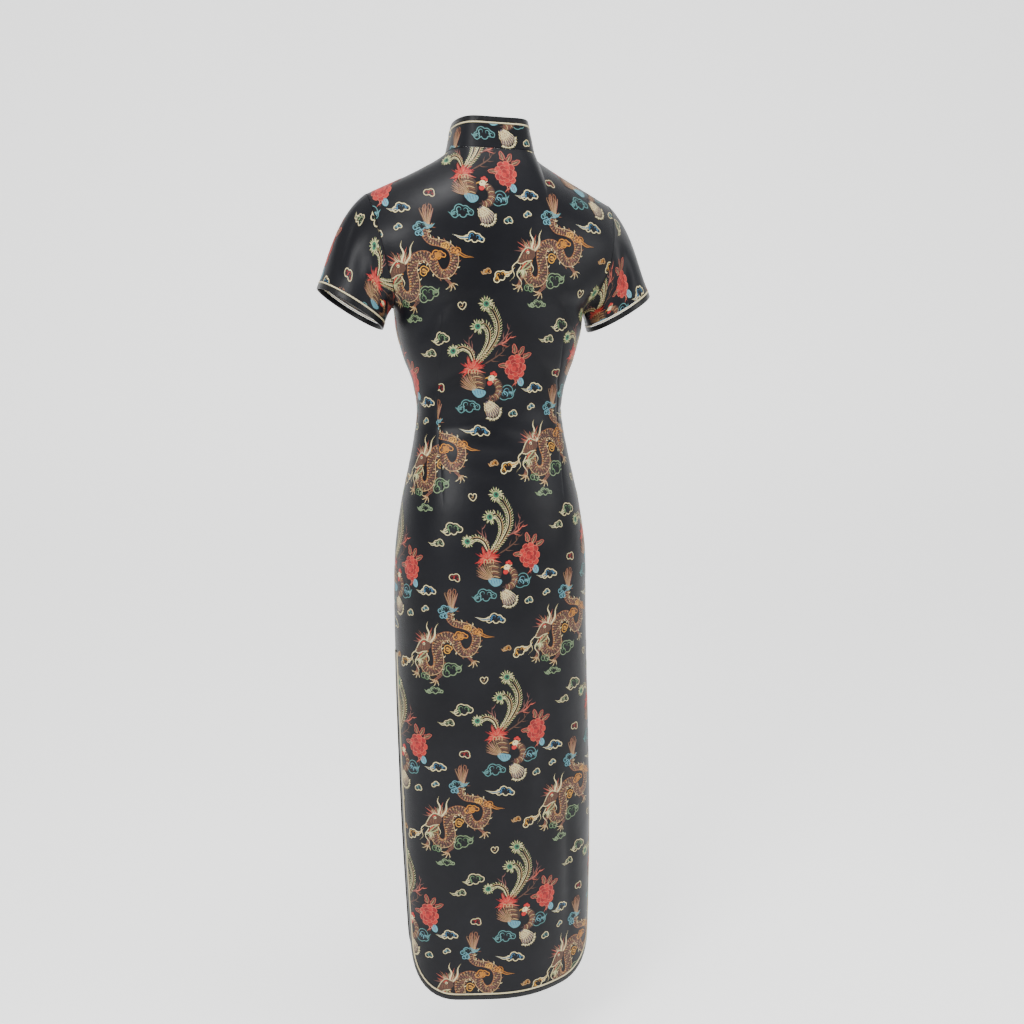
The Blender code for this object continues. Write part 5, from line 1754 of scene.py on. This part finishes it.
def skirt_grid(side: int, top: float, dart: Dart) -> Array:
    """The angles and heights of a panel's straight rows, from just above the hem's edging to a top.

    Args:
        side: back or front.
        top: the height of the last row.
        dart: the waist darts, along which the columns lie close together.

    Returns:
        The grid, in rows from the bottom up.
    """
    radius = HEM_CORNER - EDGING
    turns = np.linspace(0, QUARTER, CORNER_ROWS + 1)
    corner = HEM + EDGING + radius * (1 - np.cos(turns))
    skirt = steps(corner[-1], SKIRT_ROWS, SLIT_TOP - SLIT_TURN)
    body = steps(SLIT_TOP, HIP_ROWS, WAIST, BODICE_ROWS, top)
    heights = np.concatenate((corner, skirt[1:], body))
    slit = heights < SLIT_TOP
    inset = np.where(slit, EDGING + SLIT_SPREAD * (SLIT_TOP - heights) / (SLIT_TOP - HEM), 0)
    inset[: len(turns)] += radius * (1 - np.sin(turns))
    ends = side_length(side, heights) - inset
    at = length_across(side, dart.across, heights)
    at = mix(HEM_COLUMN_SHARE * ends, at, ease(*COLUMN_BEND, heights))
    close = at[:, None] + DART_GROOVE * np.array(DART_COLUMNS)
    beyond = mix(close[:, -1:], ends[:, None], np.linspace(0, 1, DART_OUTER_COLUMNS + 1)[1:])
    middle_columns = PANEL_COLUMNS - 2 * (len(DART_COLUMNS) - 1) - 2 * DART_OUTER_COLUMNS
    between = close[:, :1] * np.linspace(-1, 1, middle_columns + 1)[1:-1]
    lengths = np.hstack((-beyond[:, ::-1], -close[:, ::-1], between, close, beyond))
    levels = np.broadcast_to(heights[:, None], lengths.shape)
    return np.dstack((angle_at(side, lengths, levels), levels))


@dataclass
class Panels:
    """The back, the front and the under-front, with their darts."""

    back: BodyCloth = field(default_factory=lambda: BodyCloth(Cut.BACK))
    front: BodyCloth = field(default_factory=lambda: BodyCloth(Cut.FRONT, FRONT_DART, FRONT_CREASES))
    under: BodyCloth = field(default_factory=lambda: BodyCloth(Cut.UNDER, FRONT_DART, FRONT_CREASES))

    def build(self) -> list[bpy.types.Object]:
        """Makes the three panels."""
        return [self._back(), self._front(), self._under()]

    def _back(self) -> bpy.types.Object:
        """The back, one piece from hem to shoulders."""
        skirt = skirt_grid(BACK, UNDERARM, BACK_DART)
        shoulder = np.linspace(SHOULDER_HALF_WIDTH, NECK_HALF_WIDTH, SHOULDER_COLUMNS + 1)[:-1]
        neck = neck_places(-NECK_HALF_WIDTH, NECK_HALF_WIDTH, NECK_COLUMNS)
        across = np.concatenate((-shoulder, neck, shoulder[::-1]))
        yoke = patch(skirt[-1], top_edge(BACK, across), side_edge(RIGHT, UNDERARM), side_edge(LEFT, UNDERARM))
        grid = np.concatenate((skirt[:-1], yoke))
        return self.back.panel("back_cloth", grid[..., 0], grid[..., 1], ["back_panel"])

    def _front(self) -> bpy.types.Object:
        """The front, from the hem to the left shoulder and to the flap's edge."""
        lengths, heights = flap_line(EDGING, ARMHOLE_ROWS + SIDE_ROWS)
        right = np.column_stack((angle_at(FRONT, lengths, heights), heights))
        skirt = skirt_grid(FRONT, right[0, 1], FRONT_DART)
        half = PANEL_COLUMNS // 2
        shoulder = np.linspace(NECK_HALF_WIDTH, SHOULDER_HALF_WIDTH, half + 1)[1:]
        start = float(half_width_at(right[-1, 1]) * math.sin(right[-1, 0]))
        across = np.concatenate((neck_places(start, NECK_HALF_WIDTH, half), shoulder))
        yoke = patch(skirt[-1], top_edge(FRONT, across), right, side_edge(LEFT, right[0, 1], SIDE_ROWS))
        grid = np.concatenate((skirt[:-1], yoke))
        return self.front.panel("front_cloth", grid[..., 0], grid[..., 1], ["front_panel"])

    def _under(self) -> bpy.types.Object:
        """The piece over the right of the chest, which meets the flap's edge."""
        lengths, heights = flap_line(-FLAP_GAP, CURVE_SAMPLES)
        flap = np.column_stack((angle_at(FRONT, lengths, heights), heights))
        armhole = side_edge(RIGHT, flap[0, 1], SIDE_ROWS)
        rise = (armhole[:, 1] - armhole[0, 1]) / (armhole[-1, 1] - armhole[0, 1])
        level = mix(flap[0, 1], flap[-1, 1], rise)
        inner = np.column_stack((np.interp(level, flap[:, 1], flap[:, 0]), level))
        for edge in (inner, armhole):
            edge[0] = mix(edge[0], edge[1], UNDER_TIP_CUT)
        shoulder = np.linspace(-SHOULDER_HALF_WIDTH, -NECK_HALF_WIDTH, SHOULDER_COLUMNS + 1)[:-1]
        end = float(half_width_at(flap[-1, 1]) * math.sin(flap[-1, 0]))
        neck = neck_places(-NECK_HALF_WIDTH, end, UNDER_NECK_COLUMNS)
        top = top_edge(FRONT, np.concatenate((shoulder, neck)))
        bottom = mix(armhole[0], inner[0], np.linspace(0, 1, len(top))[:, None])
        grid = patch(bottom, top, armhole, inner, UNDER_LIFT)
        return self.under.panel("under_front_cloth", grid[..., 0], grid[..., 1], ["under_front"])


# Edging


# The puckers along an edging: each wave's share, its length and its shift
PUCKERS = ((0.5, 0.0047, 0.0), (0.3, 0.0021, 1.0), (0.2, 0.0113, 0.0))
PUCKER_DEPTH = 0.10


@dataclass(frozen=True)
class Strip:
    """An edging strip: where it lies in from the edge, how proud it stands, and its finish."""

    suffix: str
    slot: str
    finish: Any
    inset: float
    width: float
    proud: float
    under: float
    columns: int
    roundness: float

    def insets(self) -> Array:
        """The strip's places across it, closer together at its edges."""
        return self.inset + self.width * (1 - np.cos(np.linspace(0, math.pi, self.columns + 1))) / 2

    def outer(self, along: Array) -> Array:
        """How far its outer face stands out, with small puckers along it."""
        t = np.cos(np.linspace(0, math.pi, self.columns + 1))
        crown = (1 - np.abs(t) ** self.roundness) ** (1 / self.roundness)
        pucker = sum(share * np.sin(along / length + shift) for share, length, shift in PUCKERS)
        return mix(EDGE_ROUNDING, self.proud, crown[:, None]) * (1 + PUCKER_DEPTH * crown[:, None] * pucker)


STRIPS = (
    Strip(
        "binding", "black_binding", BindingFinish(),
        inset=0.0, width=BINDING_WIDTH, proud=BINDING_PROUD, under=BINDING_PROUD, columns=8, roundness=3.0,
    ),
    Strip(
        "piping", "cream_piping", PipingFinish(),
        inset=PIPING_INSET, width=PIPING_WIDTH, proud=PIPING_PROUD, under=0.0, columns=6, roundness=2.0,
    ),
)


def edging(name: str, line_at: Line, closed: bool = False) -> list[bpy.types.Object]:
    """Makes the binding and the piping along an edge.

    Args:
        name: the edge's name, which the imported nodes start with.
        line_at: gives the edge's points and normals at an inset.
        closed: whether the edge comes back to its start.

    Returns:
        The two pieces.
    """
    made = []
    for strip in STRIPS:
        points, normals = (np.array(grid) for grid in zip(*(line_at(inset) for inset in strip.insets())))
        along = running_length(points[0])
        cloth = np.dstack(np.broadcast_arrays(along[None], -strip.insets()[:, None]))
        name_of = f"{name}_{strip.suffix}"
        crown = np.sin(np.linspace(0, math.pi, strip.columns + 1))[:, None]
        made.append(
            wall(
                f"{name_of}_satin", points, normals, cloth, (strip.finish,), [name_of],
                outer=strip.outer(along), inner=-WALL - strip.under * crown, closed=closed,
            )
        )
    return made


def skirt_line(side: int, inset: float) -> tuple[Array, Array]:
    """A slit's and the hem's edge as lengths and heights, moved in by an inset, right slit to left."""
    radius = HEM_CORNER - inset
    straight = steps(SLIT_TOP - SLIT_TURN - SEAM_GAP, SLIT_STEPS, HEM + HEM_CORNER)
    turns = np.linspace(0, QUARTER, CORNER_ROWS + 1)[1:]
    heights = np.concatenate((straight, HEM + HEM_CORNER - radius * np.sin(turns)))
    spread = SLIT_SPREAD * (SLIT_TOP - heights) / (SLIT_TOP - HEM)
    lengths = side_length(side, heights) - spread
    lengths[: len(straight)] -= inset
    lengths[len(straight) :] += radius * np.cos(turns) - HEM_CORNER
    hem = np.linspace(-lengths[-1], lengths[-1], HEM_STEPS + 1)[1:-1]
    lengths = np.concatenate((-lengths, hem, lengths[::-1]))
    return lengths, np.concatenate((heights, np.full(len(hem), heights[-1]), heights[::-1]))


def body_edging(name: str, side: int, line: Line) -> list[bpy.types.Object]:
    """Makes the edging along a line on the body, from a function that gives lengths and heights."""

    def line_at(inset: float) -> tuple[Array, Array]:
        """The points and normals at an inset."""
        lengths, heights = line(inset)
        angles = angle_at(side, lengths, heights)
        return body_point(side, angles, heights), body_normals(side, angles, heights)

    return edging(name, line_at)


# Sleeves


SLEEVE_CREASES = (
    Crease(0.105, -0.060, 72.0, 0.055, 0.012, 0.0030),
    Crease(0.250, -0.050, -70.0, 0.050, 0.011, 0.0024),
    Crease(0.180, -0.090, 88.0, 0.050, 0.016, 0.0018),
    Crease(0.055, -0.030, 50.0, 0.030, 0.008, 0.0018),
    Crease(0.310, -0.030, -55.0, 0.030, 0.008, 0.0018),
)


@dataclass
class SleeveCloth:
    """A short set-in sleeve and its cloth, from the armhole to the cuff."""

    name: str
    hand: int
    margin: float = 0.0006

    def __post_init__(self) -> None:
        """Works out the sleeve's rings."""
        self.threads, self.lengths = self._threads()
        self.grids = self.threads, grid_normals(self.threads, closed=True)
        rows = zip(*(self.ring_at(EDGING, share) for share in steps(0, SLEEVE_ROWS, 1)))
        self.points, self.normals = (np.array(row) for row in rows)
        rings = np.linalg.norm(np.diff(self.points, axis=1), axis=2).sum(axis=1)
        self.width = float(rings.mean())
        self.length = float(self.lengths[-1].mean() - EDGING)
        shares = np.linspace(0, 1, SLEEVE_ROWS + 1)[:, None]
        turns = np.linspace(0, 1, self.points.shape[1])[None]
        self.cloth = np.dstack(np.broadcast_arrays(self.width * (1 - turns), -self.length * shares))
        calm = np.sin(math.pi * shares) ** 0.5 * np.minimum(np.sin(math.pi * turns) * 4, 1)
        self.lift = creased(SLEEVE_CREASES, self.cloth[..., 0], self.cloth[..., 1]) * calm

    def _threads(self) -> tuple[Array, Array]:
        """The lengthwise threads from the armhole to the cuff, and the cloth's length along each."""
        hand = self.hand
        turns = hand * np.linspace(0, 2 * math.pi, 2 * ARMHOLE_ROWS + 1)
        side = np.where(np.sin(turns) >= 0, BACK, FRONT)
        heights = mix(UNDERARM, SHOULDER_TIP, (1 - np.cos(turns)) / 2)
        start = body_point(side, hand * armhole_angle(heights), heights)
        start[:, 1] -= side * SEAM_GAP / 2
        start[:, 0] += hand * SLEEVE_SEAM_GAP
        along = np.array((hand * math.cos(CUFF_TILT), 0.0, math.sin(CUFF_TILT)))
        middle = np.array((hand * CUFF_OUT, -CUFF_FORWARD, CUFF_LEVEL))
        end = middle - CUFF_HALF_WIDTH * np.cos(turns)[:, None] * along
        end[:, 1] += CUFF_HALF_DEPTH * np.sin(turns)
        reach = np.linalg.norm(end - start, axis=1)[:, None]
        start_run = np.tile(np.array(SLEEVE_START_RUN) * (hand, 1, 1), (len(turns), 1))
        start_run[:, 1] *= np.sin(turns)
        end_run = np.array(SLEEVE_END_RUN) * (hand, 1, 1)
        t = np.linspace(0, 1, THREAD_SAMPLES)[:, None, None]
        threads = start * (1 + 2 * t) * (1 - t) ** 2 + end * t * t * (3 - 2 * t)
        threads = threads + reach * (start_run * t * (1 - t) ** 2 - end_run * t * t * (1 - t))
        off_start = np.abs((turns + math.pi) % (2 * math.pi) - math.pi)
        from_fold = (off_start - SLEEVE_FOLD_TURN) / SLEEVE_FOLD_WIDTH
        down = (t[..., 0] - SLEEVE_FOLD_MIDDLE) / SLEEVE_FOLD_LENGTH
        fold = SLEEVE_FOLD_DEPTH * np.exp(-(from_fold**2) - down**2) * (np.sin(turns) > 0)
        threads = threads - grid_normals(threads, closed=True) * fold[..., None]
        strides = np.linalg.norm(np.diff(threads, axis=0), axis=2)
        return threads, np.concatenate((np.zeros((1, len(turns))), np.cumsum(strides, axis=0)))

    def ring_at(self, inset: float, share: float = 1.0) -> tuple[Array, Array]:
        """The points and normals round the sleeve at a share of the way to an inset from the cuff."""
        wanted = share * (self.lengths[-1] - inset)

        def look_up(grid: Array) -> Array:
            """The grid's vectors at the wanted lengths of its threads."""
            columns = zip(wanted, self.lengths.T, np.moveaxis(grid, 1, 0))
            return np.array([[np.interp(w, reach, axis) for axis in line.T] for w, reach, line in columns])

        points, normals = (look_up(grid) for grid in self.grids)
        return points, unit(normals)

    def build(self) -> bpy.types.Object:
        """Makes the sleeve's wall."""
        name = f"{self.name}_cloth"
        return wall(
            name, self.points, self.normals, self.cloth, CLOTH_FACES, [self.name],
            outer=self.lift, inner=self.lift - WALL, closed=True, sharp=CLOTH_SHARP,
        )

    def reach(self) -> tuple[Array, Array]:
        """The lowest and highest corners of the flat cloth."""
        return np.array((0.0, -self.length)), np.array((self.width, 0.0))

    def hold(self, flat: Array) -> tuple[Array, Array]:
        """Moves places that pass the cut's edge onto it, and says which."""
        low, high = self.reach()
        held = np.clip(flat, low + self.margin, high - self.margin)
        return held, np.any(held != flat, axis=1)

    def lay(self, flat: Array, lift: Any) -> Array:
        """The points of places on the cloth, a little above it."""
        row = np.clip(-flat[:, 1] / self.length * SLEEVE_ROWS, 0, SLEEVE_ROWS - 1e-6)
        last = self.points.shape[1] - 1
        column = np.clip((1 - flat[:, 0] / self.width) * last, 0, last - 1e-6)
        i, j = row.astype(int), column.astype(int)
        di, dj = (row - i)[:, None], (column - j)[:, None]
        found = []
        for grid in (self.points, self.normals, self.lift[..., None]):
            low, high = (mix(grid[r, j], grid[r, j + 1], dj) for r in (i, i + 1))
            found.append(mix(low, high, di))
        points, normals, out = found
        return points + unit(normals) * (out + np.asarray(lift)[:, None])


# Collar


class CollarCloth:
    """The stand collar: a band over the neck seam, laid out by length from the back and by height."""

    margin: float = 0.0004

    def __init__(self) -> None:
        """Works out the collar's base line and how it rises."""
        turns = np.linspace(-COLLAR_SPAN, COLLAR_SPAN, CURVE_SAMPLES)
        side = np.where(np.abs(turns) <= QUARTER, BACK, FRONT)
        across = NECK_HALF_WIDTH * np.sin(turns)
        heights = neckline_height(across, side)
        self.base = body_point(side, np.arcsin(across / half_width_at(heights)), heights)
        self.base[:, 1] -= side * SEAM_GAP / 2
        self.base[:, 2] += COLLAR_GAP
        run = np.gradient(self.base, axis=0)
        out = np.column_stack((-run[:, 1], run[:, 0], np.zeros(len(run))))
        self.rise = unit(np.array((0, 0, 1)) - COLLAR_LEAN * unit(out))
        self.normals = unit(np.cross(self.rise, run))
        self.lengths = running_length(self.base)
        self.lengths -= self.lengths[-1] / 2
        self.front = float(np.interp(math.pi, turns, self.lengths))
        columns = np.linspace(COLLAR_TURN, -COLLAR_TURN, COLLAR_COLUMNS + 1)
        self.columns = np.interp(columns, turns, self.lengths)
        self.end = self.front - COLLAR_OPENING / 2

    def look_up(self, table: Array, length: Any) -> Array:
        """A table of vectors along the collar, at lengths from the middle of the back."""
        return np.stack([np.interp(length, self.lengths, table[:, axis]) for axis in range(3)], axis=-1)

    def surface(self, length: Any, height: Any) -> tuple[Array, Array]:
        """The collar's outer surface and its normals, at lengths and at heights."""
        risen = np.asarray(height)[..., None] * self.look_up(self.rise, length)
        return self.look_up(self.base, length) + risen, unit(self.look_up(self.normals, length))

    def top(self, length: Any) -> Any:
        """The collar's full height at a length from the middle of the back."""
        share = (1 + np.cos(math.pi * length / self.end)) / 2
        return mix(COLLAR_FRONT_HEIGHT, COLLAR_BACK_HEIGHT, share)

    def top_line(self, inset: float) -> tuple[Array, Array]:
        """The lengths and heights of the top edge moved in by an inset, left end to right end."""
        radius = COLLAR_CORNER - inset
        turns = np.linspace(0, QUARTER, COLLAR_CORNER_ROWS + 1)
        corner = self.end - COLLAR_CORNER + radius * np.cos(turns)
        drops = COLLAR_CORNER - radius * np.sin(turns)
        lengths = np.concatenate((corner, self.columns, -corner[::-1]))
        drops = np.concatenate((drops, np.full(len(self.columns), inset), drops[::-1]))
        return lengths, self.top(lengths) - drops

    def edge_line(self, inset: float) -> tuple[Array, Array]:
        """The front ends' and the top's edge moved in by an inset."""
        lengths, heights = self.top_line(inset)
        lengths = np.concatenate((lengths[:1], lengths, lengths[-1:]))
        return self.surface(lengths, np.concatenate(((0.0,), heights, (0.0,))))

    def build(self) -> bpy.types.Object:
        """Makes the collar's wall."""
        lengths, heights = self.top_line(EDGING)
        rise = steps(0, COLLAR_ROWS, 1)[:, None] * heights
        lengths = np.broadcast_to(lengths, rise.shape)
        points, normals = self.surface(lengths, rise)
        cloth = np.dstack((-lengths, rise))
        return wall("collar_cloth", points, normals, cloth, CLOTH_FACES, ["collar"])

    def reach(self) -> tuple[Array, Array]:
        """The lowest and highest corners of the flat cloth."""
        return np.array((-self.end, 0.0)), np.array((self.end, COLLAR_BACK_HEIGHT))

    def hold(self, flat: Array) -> tuple[Array, Array]:
        """Moves places that pass the cut's edge onto it, and says which."""
        lengths, heights = self.top_line(EDGING + self.margin)
        right = np.clip(flat[:, 0], lengths.min(), lengths.max())
        top = np.interp(-right, lengths[::-1], heights[::-1])
        held = np.column_stack((right, np.clip(flat[:, 1], self.margin, top)))
        return held, np.any(held != flat, axis=1)

    def lay(self, flat: Array, lift: Any) -> Array:
        """The points of places on the cloth, a little above it."""
        points, normals = self.surface(-flat[:, 0], flat[:, 1])
        return points + normals * np.asarray(lift)[:, None]


# Frogs


def tube(bm: bmesh.types.BMesh, path: Array, radius: float, closed: bool = False, sides: int = 10) -> None:
    """Adds a round cord along a path to a mesh, with places on its cloth.

    Args:
        bm: the mesh, with a UV map.
        path: the cord's middle line.
        radius: its radius.
        closed: whether the path comes back to its start, which is given again at its end.
        sides: the number of faces round it.
    """
    run = np.gradient(path, axis=0)
    if closed:
        run[0] = run[-1] = path[1] - path[-2]
    run = unit(run)
    normal = unit(np.cross(run[0], (0.0, 1.0, 0.0)) + 1e-6)
    frames = [normal]
    for tangent in run[1:]:
        frames.append(unit(frames[-1] - np.dot(frames[-1], tangent) * tangent))
    frames = np.array(frames)
    if closed:
        first, last = frames[0], frames[-1]
        slip = math.atan2(float(np.dot(np.cross(last, first), run[0])), float(np.dot(last, first)))
        share = np.linspace(0, slip, len(path))[:, None]
        frames = frames * np.cos(share) + np.cross(run, frames) * np.sin(share)
    beside = np.cross(run, frames)
    turns = np.linspace(0, 2 * math.pi, sides + 1)[None, :, None]
    points = path[:, None] + radius * (frames[:, None] * np.cos(turns) + beside[:, None] * np.sin(turns))
    around = np.linspace(0, 2 * math.pi * radius, sides + 1)
    flat = np.dstack(np.broadcast_arrays(running_length(path)[:, None], around[None]))
    uv = bm.loops.layers.uv.verify()
    made = bmesh.ops.create_grid(bm, x_segments=sides, y_segments=len(path) - 1, size=0.5)["verts"]
    number = {vert: i for i, vert in enumerate(made)}
    for vert, point in zip(made, points.reshape(-1, 3)):
        vert.co = point
    places = flat.reshape(-1, 2)
    for face in {face for vert in made for face in vert.link_faces}:
        for loop in face.loops:
            loop[uv].uv = places[number[loop.vert]]
    bmesh.ops.remove_doubles(bm, verts=made, dist=MERGE)
    if not closed:
        ends = [edge for edge in bm.edges if edge.is_boundary]
        for end in (Vector(path[0]), Vector(path[-1])):
            rim = [edge for edge in ends if (edge.verts[0].co - end).length < 2 * radius]
            bmesh.ops.contextual_create(bm, geom=rim)


@dataclass
class Frog:
    """A closed frog: a knot half and a loop half of doubled cord, to either side of an edge."""

    name: str
    reach: float
    place: Callable[[Array, Array], tuple[Array, Array]]
    knot_level: float
    cord: float = 0.00135
    knot: float = 0.0043
    knot_rise: float = 0.0036
    knot_cord: float = 1.25

    def _path(self, places: Array, rise: Callable[[Array], Array]) -> Array:
        """A line over the cloth from places out and along, lifted by a function of the distance out."""
        points, normals = self.place(places[:, 0], places[:, 1])
        return points + normals * rise(places[:, 0])[:, None]

    def build(self) -> list[bpy.types.Object]:
        """Makes the two halves."""
        return [self._half("knot", self._knot), self._half("loop", self._loop)]

    def _half(self, suffix: str, draw: Callable[[bmesh.types.BMesh], None]) -> bpy.types.Object:
        """Makes one half with the function that draws it."""
        bm = bmesh.new()
        bm.loops.layers.uv.new("cloth")
        draw(bm)
        bmesh.ops.recalc_face_normals(bm, faces=bm.faces)
        name = f"{self.name}_{suffix}"
        return finish_piece(f"{name}_cord", mesh_of(bm, name), (CordFinish(),), [name])

    def _knot(self, bm: bmesh.types.BMesh) -> None:
        """Draws a doubled cord from the ball to its turned-back end, and the ball knot."""
        gap = self.cord * 1.02
        bend = ((-0.0015, gap), (-self.reach + 0.002, gap), (-self.reach + 0.0003, 0.4 * gap))
        ends = tuple((out, -along) for out, along in reversed(bend))
        line = catmull(bend + ends, 0.0008)

        def rise(out: Array) -> Array:
            """How far the cord's middle lies above the cloth."""
            return mix(self.knot_level, FROG_CLEARANCE, ease(-2.2 * self.knot, -self.knot, out)) + self.cord

        tube(bm, self._path(line, rise), self.cord)
        t = np.linspace(0, 2 * math.pi, 97)[:, None]
        across, up = np.sin(t) + 2 * np.sin(2 * t), np.cos(t) - 2 * np.cos(2 * t)
        trefoil = np.hstack((across, up, -1.6 * np.sin(3 * t))) / 3
        middle, normal = (vectors[0] for vectors in self.place(np.zeros(1), np.zeros(1)))
        ahead = unit(self.place(np.full(1, 1e-3), np.zeros(1))[0][0] - middle)
        beside = np.cross(normal, ahead)
        centre = middle + normal * (FROG_CLEARANCE + self.knot_rise)
        thick = self.cord * self.knot_cord
        size = self.knot - thick * 0.9
        ball = centre + size * (trefoil @ np.array((ahead, beside, normal)))
        tube(bm, ball, thick, closed=True)
        heart = bmesh.ops.create_icosphere(bm, subdivisions=2, radius=self.knot * 0.62)["verts"]
        for vert in heart:
            vert.co = Vector(centre) + vert.co

    def _loop(self, bm: bmesh.types.BMesh) -> None:
        """Draws a doubled cord from its turned-back end that opens round the ball and closes behind it."""
        gap, wide = self.cord * 1.02, self.knot + self.cord * 1.2
        half = (
            (self.reach - 0.0003, 0.4 * gap), (self.reach - 0.002, gap), (self.knot + 0.007, gap),
            (self.knot + 0.0035, 0.55 * wide), (0.4 * self.knot, wide), (-0.55 * self.knot, 0.85 * wide),
            (-1.25 * self.knot, 0.35 * wide),
        )
        back = tuple((out, -along) for out, along in reversed(half))
        line = catmull(half + back, 0.0008, closed=True)

        def rise(out: Array) -> Array:
            """How far the cord's middle lies above the cloth."""
            over = 2 * self.cord * (1 - ease(-1.4 * self.knot, 0.2 * self.knot, out))
            return FROG_CLEARANCE + self.cord + over

        tube(bm, self._path(line, rise), self.cord, closed=True)


def frogs(collar: CollarCloth) -> list[Frog]:
    """The collar's frog and those along the flap."""

    def on_collar(out: Array, along: Array) -> tuple[Array, Array]:
        """The collar's surface at distances out from the opening and up."""
        return collar.surface(collar.front - out, FROG_COLLAR_LEVEL + along)

    found = [Frog("frog_collar", FROG_COLLAR_REACH, on_collar, FROG_CLEARANCE)]
    line, run = flap_curve()
    for name, share, reach in FROGS:
        i = round((1 - share) * (len(line) - 1))

        def on_flap(
            out: Array, along: Array, start: Array = line[i], ahead: Array = run[i]
        ) -> tuple[Array, Array]:
            """The body's surface at distances out from the flap's edge and along it."""
            lengths = start[0] + out * ahead[1] + along * ahead[0]
            heights = start[1] - out * ahead[0] + along * ahead[1]
            angles = angle_at(FRONT, lengths, heights)
            return body_point(FRONT, angles, heights), body_normals(FRONT, angles, heights)

        found.append(Frog(name, reach, on_flap, SEAM_GAP))
    return found


# Studio


@dataclass
class Studio:
    """The pale floor that rises behind, the soft lights and the camera at the photo's angle."""

    floor: float = FLOOR
    camera_place: tuple[float, float, float] = (0.4141, 1.5455, -0.336)
    lens: float = 36.1
    turn: float = 1.23
    pitch: float = 7.7
    surround: float = 0.8
    columns: int = 24
    column_width: float = 0.5

    def build(self) -> bpy.types.Object:
        """Makes the backdrop, the lights and the camera."""
        self._lights()
        self._camera()
        return self._backdrop()

    def _backdrop(self) -> bpy.types.Object:
        """Makes the floor, curved up behind the dress as the camera sees it."""
        profile = catmull(((5.0, 0.0), (1.0, 0.0), (-1.6, 0.0), (-2.7, 0.35), (-3.1, 1.4), (-3.2, 4.6)), 0.1)
        heading = math.atan2(self.camera_place[0], self.camera_place[1])
        bm = bmesh.new()
        bmesh.ops.create_grid(bm, x_segments=self.columns, y_segments=len(profile) - 1, size=0.5)
        c, s = math.cos(heading), math.sin(heading)
        for i, vert in enumerate(bm.verts):
            row, column = divmod(i, self.columns + 1)
            across, (ahead, up) = (column - self.columns // 2) * self.column_width, profile[row]
            vert.co = (across * c + ahead * s, ahead * c - across * s, self.floor + up)
        bmesh.ops.recalc_face_normals(bm, faces=bm.faces)
        mesh = mesh_of(bm, "backdrop")
        mesh.materials.append(FINISHES.get(BackdropFinish()))
        mesh.shade_smooth()
        backdrop = bpy.data.objects.new("backdrop", mesh)
        bpy.context.scene.collection.objects.link(backdrop)
        return backdrop

    def _lights(self) -> None:
        """Places three large soft lights round the camera and a pale surrounding."""
        world = bpy.data.worlds.new("studio")
        world.use_nodes = True
        world.node_tree.nodes["Background"].inputs[0].default_value = (1.0, 1.0, 1.0, 1.0)
        world.node_tree.nodes["Background"].inputs[1].default_value = self.surround
        bpy.context.scene.world = world
        lights = (
            ("key", (1.9, 2.0, 0.9), 80.0, 1.0),
            ("fill", (-1.9, 1.6, 0.3), 30.0, 1.2),
            ("top", (0.2, 0.6, 1.9), 60.0, 1.0),
        )
        for name, place, power, size in lights:
            light = bpy.data.lights.new(name, "AREA")
            light.energy = power
            light.size = size
            lamp = bpy.data.objects.new(name, light)
            lamp.location = place
            lamp.rotation_euler = (Vector((0, 0, -0.6)) - Vector(place)).to_track_quat("-Z", "Y").to_euler()
            bpy.context.scene.collection.objects.link(lamp)

    def _camera(self) -> None:
        """Places the camera."""
        camera = bpy.data.cameras.new("camera")
        camera.lens = self.lens
        camera.sensor_width = 36.0
        view = bpy.data.objects.new("camera", camera)
        x, y, _ = self.camera_place
        view.location = self.camera_place
        heading = math.atan2(x, -y) - math.radians(self.turn)
        view.rotation_euler = (math.radians(90.0 - self.pitch), 0.0, heading)
        bpy.context.scene.collection.objects.link(view)
        bpy.context.scene.camera = view


def main() -> None:
    """Builds every piece and reports it."""
    logging.basicConfig(level=logging.INFO, format="%(message)s")
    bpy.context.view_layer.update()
    panels = Panels()
    back, front, under = panels.build()
    sleeves = [SleeveCloth("sleeve_left", LEFT), SleeveCloth("sleeve_right", RIGHT)]
    left, right = (sleeve.build() for sleeve in sleeves)
    collar = CollarCloth()
    band = collar.build()
    back_edge = body_edging("back_hem", BACK, lambda inset: skirt_line(BACK, inset))
    front_edge = body_edging("front_hem", FRONT, lambda inset: skirt_line(FRONT, inset))
    flap_edge = body_edging("flap", FRONT, lambda inset: flap_line(inset, FLAP_STEPS))
    left_edge, right_edge = (edging(sleeve.name, sleeve.ring_at, closed=True) for sleeve in sleeves)
    collar_edge = edging("collar", collar.edge_line)
    for frog in frogs(collar):
        frog.build()
    brocade = Brocade()
    back_figures = brocade.weave("back_figures", panels.back, BACK_REPEAT)
    front_figures = brocade.weave("front_figures", panels.front, FRONT_REPEAT)
    under_figures = brocade.weave("under_front_figures", panels.under, FRONT_REPEAT)
    left_figures = brocade.weave("sleeve_left_figures", sleeves[0], LEFT_SLEEVE_REPEAT)
    right_figures = brocade.weave("sleeve_right_figures", sleeves[1], RIGHT_SLEEVE_REPEAT)
    collar_figures = brocade.weave("collar_figures", collar, COLLAR_REPEAT)
    for piece, sleeve, kept in (
        (left, sleeves[0], [*left_edge, left_figures]), (right, sleeves[1], [*right_edge, right_figures])
    ):
        log.info("%s: flat %.3f x %.3f m", piece.name, sleeve.width, sleeve.length)
    Studio().build()


if __name__ == "__main__":
    main()
